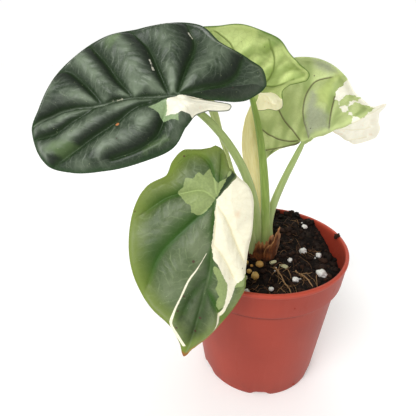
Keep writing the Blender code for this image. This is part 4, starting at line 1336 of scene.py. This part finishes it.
def strands(name, count, length, radius, finish, slot, seed, centre, spread):
    """Fine fibres and rootlets arching over the soil."""
    rng = Random(seed)
    bm = bmesh.new()
    tone = []
    made = 0
    while made < count:
        x = centre[0] + spread * (rng.random() - 0.5) * 2
        y = centre[1] + spread * (rng.random() - 0.5) * 2
        way = 2 * pi * rng.random()
        reach = length[0] + (length[1] - length[0]) * rng.random()
        curl = (rng.random() - 0.5) * 2.4
        arch = 0.3 + 1.1 * rng.random()
        thick = radius[0] + (radius[1] - radius[0]) * rng.random()
        shade = rng.random()
        if hypot(x, y) > 29.0 - 0.5 * reach or not clear_of_stem(x, y, 1.5):
            continue
        route = []
        for share in np.linspace(-0.5, 0.5, 9):
            px = x + reach * share * cos(way + curl * share)
            py = y + reach * share * sin(way + curl * share)
            inside = min(1.0, SOIL_EDGE / max(hypot(px, py), 1e-6))
            px *= inside
            py *= inside
            route.append(Vector((px, py, soil_height(px, py) + 0.15 + arch * (1 - 4 * share * share))))
        turn, _ = sweep(bm, route, [thick * (1 - 0.5 * abs(2 * share - 1)) for share in np.linspace(0, 1, 9)], 5)
        tone.append([shade] * len(turn))
        made += 1
    bmesh.ops.recalc_face_normals(bm, faces=bm.faces)
    toned_piece(name, bm, finish, slot, tone)


# The darkest and lightest tone, the spots, their scale, the roughness and, where it isn't 0.3, the gloss.
TONED_LOOKS = {
    "peat_crumb": ((0.003, 0.002, 0.0015), (0.042, 0.018, 0.010), (0.006, 0.004, 0.002), 1500, 0.75, 0.2),
    "plant_fibre": ((0.05, 0.022, 0.010), (0.30, 0.16, 0.07), (0.10, 0.05, 0.02), 2500, 0.7),
    "perlite_grain": ((0.72, 0.71, 0.68), (0.86, 0.85, 0.82), (0.40, 0.36, 0.31), 1500, 0.85),
    "fertiliser_bead": ((0.66, 0.33, 0.08), (0.68, 0.46, 0.14), (0.42, 0.36, 0.08), 900, 0.35, 0.5),
    "pale_scrap": ((0.62, 0.60, 0.36), (0.50, 0.50, 0.30), (0.30, 0.28, 0.14), 900, 0.6),
    "bark_chip": ((0.020, 0.009, 0.005), (0.070, 0.030, 0.014), (0.008, 0.004, 0.003), 1200, 0.75),
    "bare_root": ((0.22, 0.12, 0.05), (0.42, 0.25, 0.12), (0.15, 0.08, 0.03), 1600, 0.6),
}

# Chosen lumps: x, y, size and, for the one on the lip, its level.
BEAD_BITS = [(-5.0, -8.0, 0.6), (-6.3, -10.8, 1.0), (-6.9, -6.0, 0.9)]
PALE_SCRAPS = [(3.6, -6.2, 1.0), (7.4, -8.6, 1.0), (-8.0, -13.5, 0.9)]
RIM_CLODS = [(19.0, 22.6, 1.9), (16.6, 24.4, 1.5), (31.2, 3.4, 1.1, POT_HEIGHT), (24.2, 17.4, 1.6), (10.5, 28.0, 1.5)]


def toned_finish(name, first, last, spot, scale, rough, gloss=0.3):
    """A finish for many small pieces: each has its own tone between two colours, with fine spots."""
    skin = Finish(name, {"Specular IOR Level": gloss})
    tone = skin.attribute("tone")
    place = skin.place()
    fine = skin.noise(place, scale, 4.0, 0.65)
    broad = skin.noise(place, scale * 0.3, 3.0, 0.6)
    colour = skin.coats(
        first,
        (tone, last),
        (fine.step(0.52, 0.72) * 0.7, spot),
        (broad.step(0.5, 0.75) * 0.4, spot),
    )
    return skin.done(colour, rough + fine * 0.15, fine + broad, 0.0002, 0.8)


def lying_pieces(finishes):
    """The perlite, the fertiliser granules, the bark and the bare roots, where the CAD has them."""
    for kind, count, rough in (("perlite", 9, 0.30), ("pellet", 3, 0.10), ("bark", 3, 0.55)):
        for index in range(1, count + 1):
            low, high = (Vector(corner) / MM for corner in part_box(f"{kind}_{index}"))
            middle = (low + high) / 2
            size = (high - low) / 2
            ground = soil_height(middle.x, middle.y)
            flat = 1.0 if kind != "bark" else 0.55
            place = Vector((middle.x, middle.y, ground + 0.55 * size.z))
            bm = bmesh.new()
            points = lump(bm, place, 1.0, 1.0, rough, 3 * index + len(kind), 3)
            for vert in bm.verts:
                off = vert.co - place
                vert.co = place + Vector((off.x * size.x, off.y * size.y, off.z * size.z * flat))
            tones = [[(index * 0.37) % 1.0] * points]
            toned_piece(f"{kind}_lump_{index}", bm, finishes[kind], kind, tones, f"{kind}_{index}")
    for index in (1, 2):
        low, high = (Vector(corner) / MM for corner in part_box(f"root_{index}"))
        flip = index == 1
        route = []
        for share in np.linspace(0, 1, 22):
            x = low.x + (high.x - low.x) * share
            y = (high.y - (high.y - low.y) * share) if flip else (low.y + (high.y - low.y) * (1 - share))
            y += 1.2 * sin(pi * share) * (1 if flip else -1)
            lift = 0.3 + 1.3 * sin(pi * share) + 0.25 * sin(9 * share)
            route.append(Vector((x, y, soil_height(x, y) + lift)))
        bm = bmesh.new()
        turn, _ = sweep(bm, route, [0.34 - 0.16 * share for share in np.linspace(0, 1, 22)], 10)
        bmesh.ops.recalc_face_normals(bm, faces=bm.faces)
        toned_piece(f"root_strand_{index}", bm, finishes["root"], "root", [[0.6] * len(turn)], f"root_{index}")


# ---------------------------------------------------------------- studio


def softbox(name, place, aim, width, watts):
    """A square soft light in the studio."""
    light = bpy.data.lights.new(name, "AREA")
    light.size = width
    light.energy = watts
    item = in_scene(name, light)
    item.location = place
    item.rotation_euler = (Vector(aim) - Vector(place)).to_track_quat("-Z", "Y").to_euler()


def studio():
    """The camera, the lights, the bright surround and the pale floor."""
    scene = bpy.context.scene
    lens = bpy.data.cameras.new("camera")
    lens.sensor_fit = "HORIZONTAL"
    lens.sensor_width = 36
    lens.lens = LENS_LENGTH
    lens.clip_start = 0.005
    eye = in_scene("camera", lens)
    tilt = Matrix.Rotation(radians(90 - EYE_DOWN), 4, "X") @ Matrix.Rotation(radians(EYE_ROLL), 4, "Z")
    eye.matrix_world = Matrix.Translation(EYE_PLACE) @ tilt
    scene.camera = eye
    scene.view_settings.view_transform = "Standard"

    key = bpy.data.lights.new("key_light", "SUN")
    key.angle = radians(34)
    key.energy = 1.9
    in_scene("key_light", key).rotation_euler = (radians(42), 0, radians(-38))
    softbox("back_light", (0.10, 0.42, 0.40), (0, 0.01, 0.09), 0.40, 0.7)
    world = bpy.data.worlds.new("surround")
    scene.world = world
    world.use_nodes = True
    nodes = world.node_tree.nodes
    links = world.node_tree.links
    surround = nodes["Background"]
    surround.inputs["Color"].default_value = (1.0, 0.995, 0.985, 1)
    way = nodes.new("ShaderNodeTexCoord")
    parts = nodes.new("ShaderNodeSeparateXYZ")
    fall = nodes.new("ShaderNodeMapRange")
    for socket, value in (("From Min", 0.12), ("From Max", 0.60), ("To Min", 1.02), ("To Max", 0.46)):
        fall.inputs[socket].default_value = value
    links.new(way.outputs["Generated"], parts.inputs[0])
    links.new(parts.outputs["Z"], fall.inputs["Value"])
    links.new(fall.outputs[0], surround.inputs["Strength"])

    bm = bmesh.new()
    bmesh.ops.create_grid(bm, x_segments=2, y_segments=2, size=3.0)
    mesh = bpy.data.meshes.new("floor")
    bm.to_mesh(mesh)
    bm.free()
    pale = Finish("pale_floor", {
        "Roughness": 0.9, "Base Color": (0.93, 0.93, 0.92, 1),
        "Emission Color": (1, 1, 1, 1), "Emission Strength": 0.12,
    })
    mesh.materials.append(pale.material)
    floor = in_scene("floor", mesh)


def main():
    """Make every piece with its finish."""
    studio()
    for name, blade in BLADES.items():
        blade_piece(name + "_piece", blade, leaf_finish(name + "_skin", LEAF_LOOKS[name]))
    skins = {name: stalk_finish(name + "_skin", *tones, 0.3) for name, tones in STALK_TONES.items()}
    skins["furled_leaf"] = furled_finish()
    stalk_pieces(skins)
    young_leaf_pieces(skins)
    stem_piece(stalk_finish("stem_skin", (0.26, 0.28, 0.08), (0.42, 0.42, 0.16), (0.20, 0.15, 0.05), 0.8))
    sheath_piece(sheath_finish())
    pot_piece(pot_finish())
    soil_piece(soil_finish("peat", (0.0032, 0.0020, 0.0015), (0.015, 0.008, 0.005), (0.046, 0.021, 0.012)))
    skin = {name: toned_finish(name, *values) for name, values in TONED_LOOKS.items()}
    lying_pieces({
        "perlite": skin["perlite_grain"], "pellet": skin["fertiliser_bead"],
        "bark": skin["bark_chip"], "root": skin["bare_root"],
    })
    crumbs("soil_crumbs", 950, (0.25, 1.25), skin["peat_crumb"], "soil", 5)
    crumbs("soil_clods", 64, (0.9, 2.4), skin["peat_crumb"], "soil", 8, 28.5, 0.8, 0.6)
    crumbs("perlite_dust", 34, (0.16, 0.55), skin["perlite_grain"], "perlite", 13, 29.0, 0.3, 0.8)
    few("bead_bits", BEAD_BITS, 0.12, (1, 1, 0.9), skin["fertiliser_bead"], "pellet")
    few("pale_scraps", PALE_SCRAPS, 0.3, (1.7, 0.9, 0.55), skin["pale_scrap"], "perlite")
    few("rim_clods", RIM_CLODS, 1.2, (1.1, 0.9, 0.8), skin["peat_crumb"], "soil")
    strands("fine_fibres", 110, (2.5, 9.0), (0.05, 0.12), skin["plant_fibre"], "root", 4, (0, 0), 28)
    strands("tan_rootlets", 16, (5.0, 11.0), (0.09, 0.16), skin["bare_root"], "root", 6, (11, -16), 8)


main()
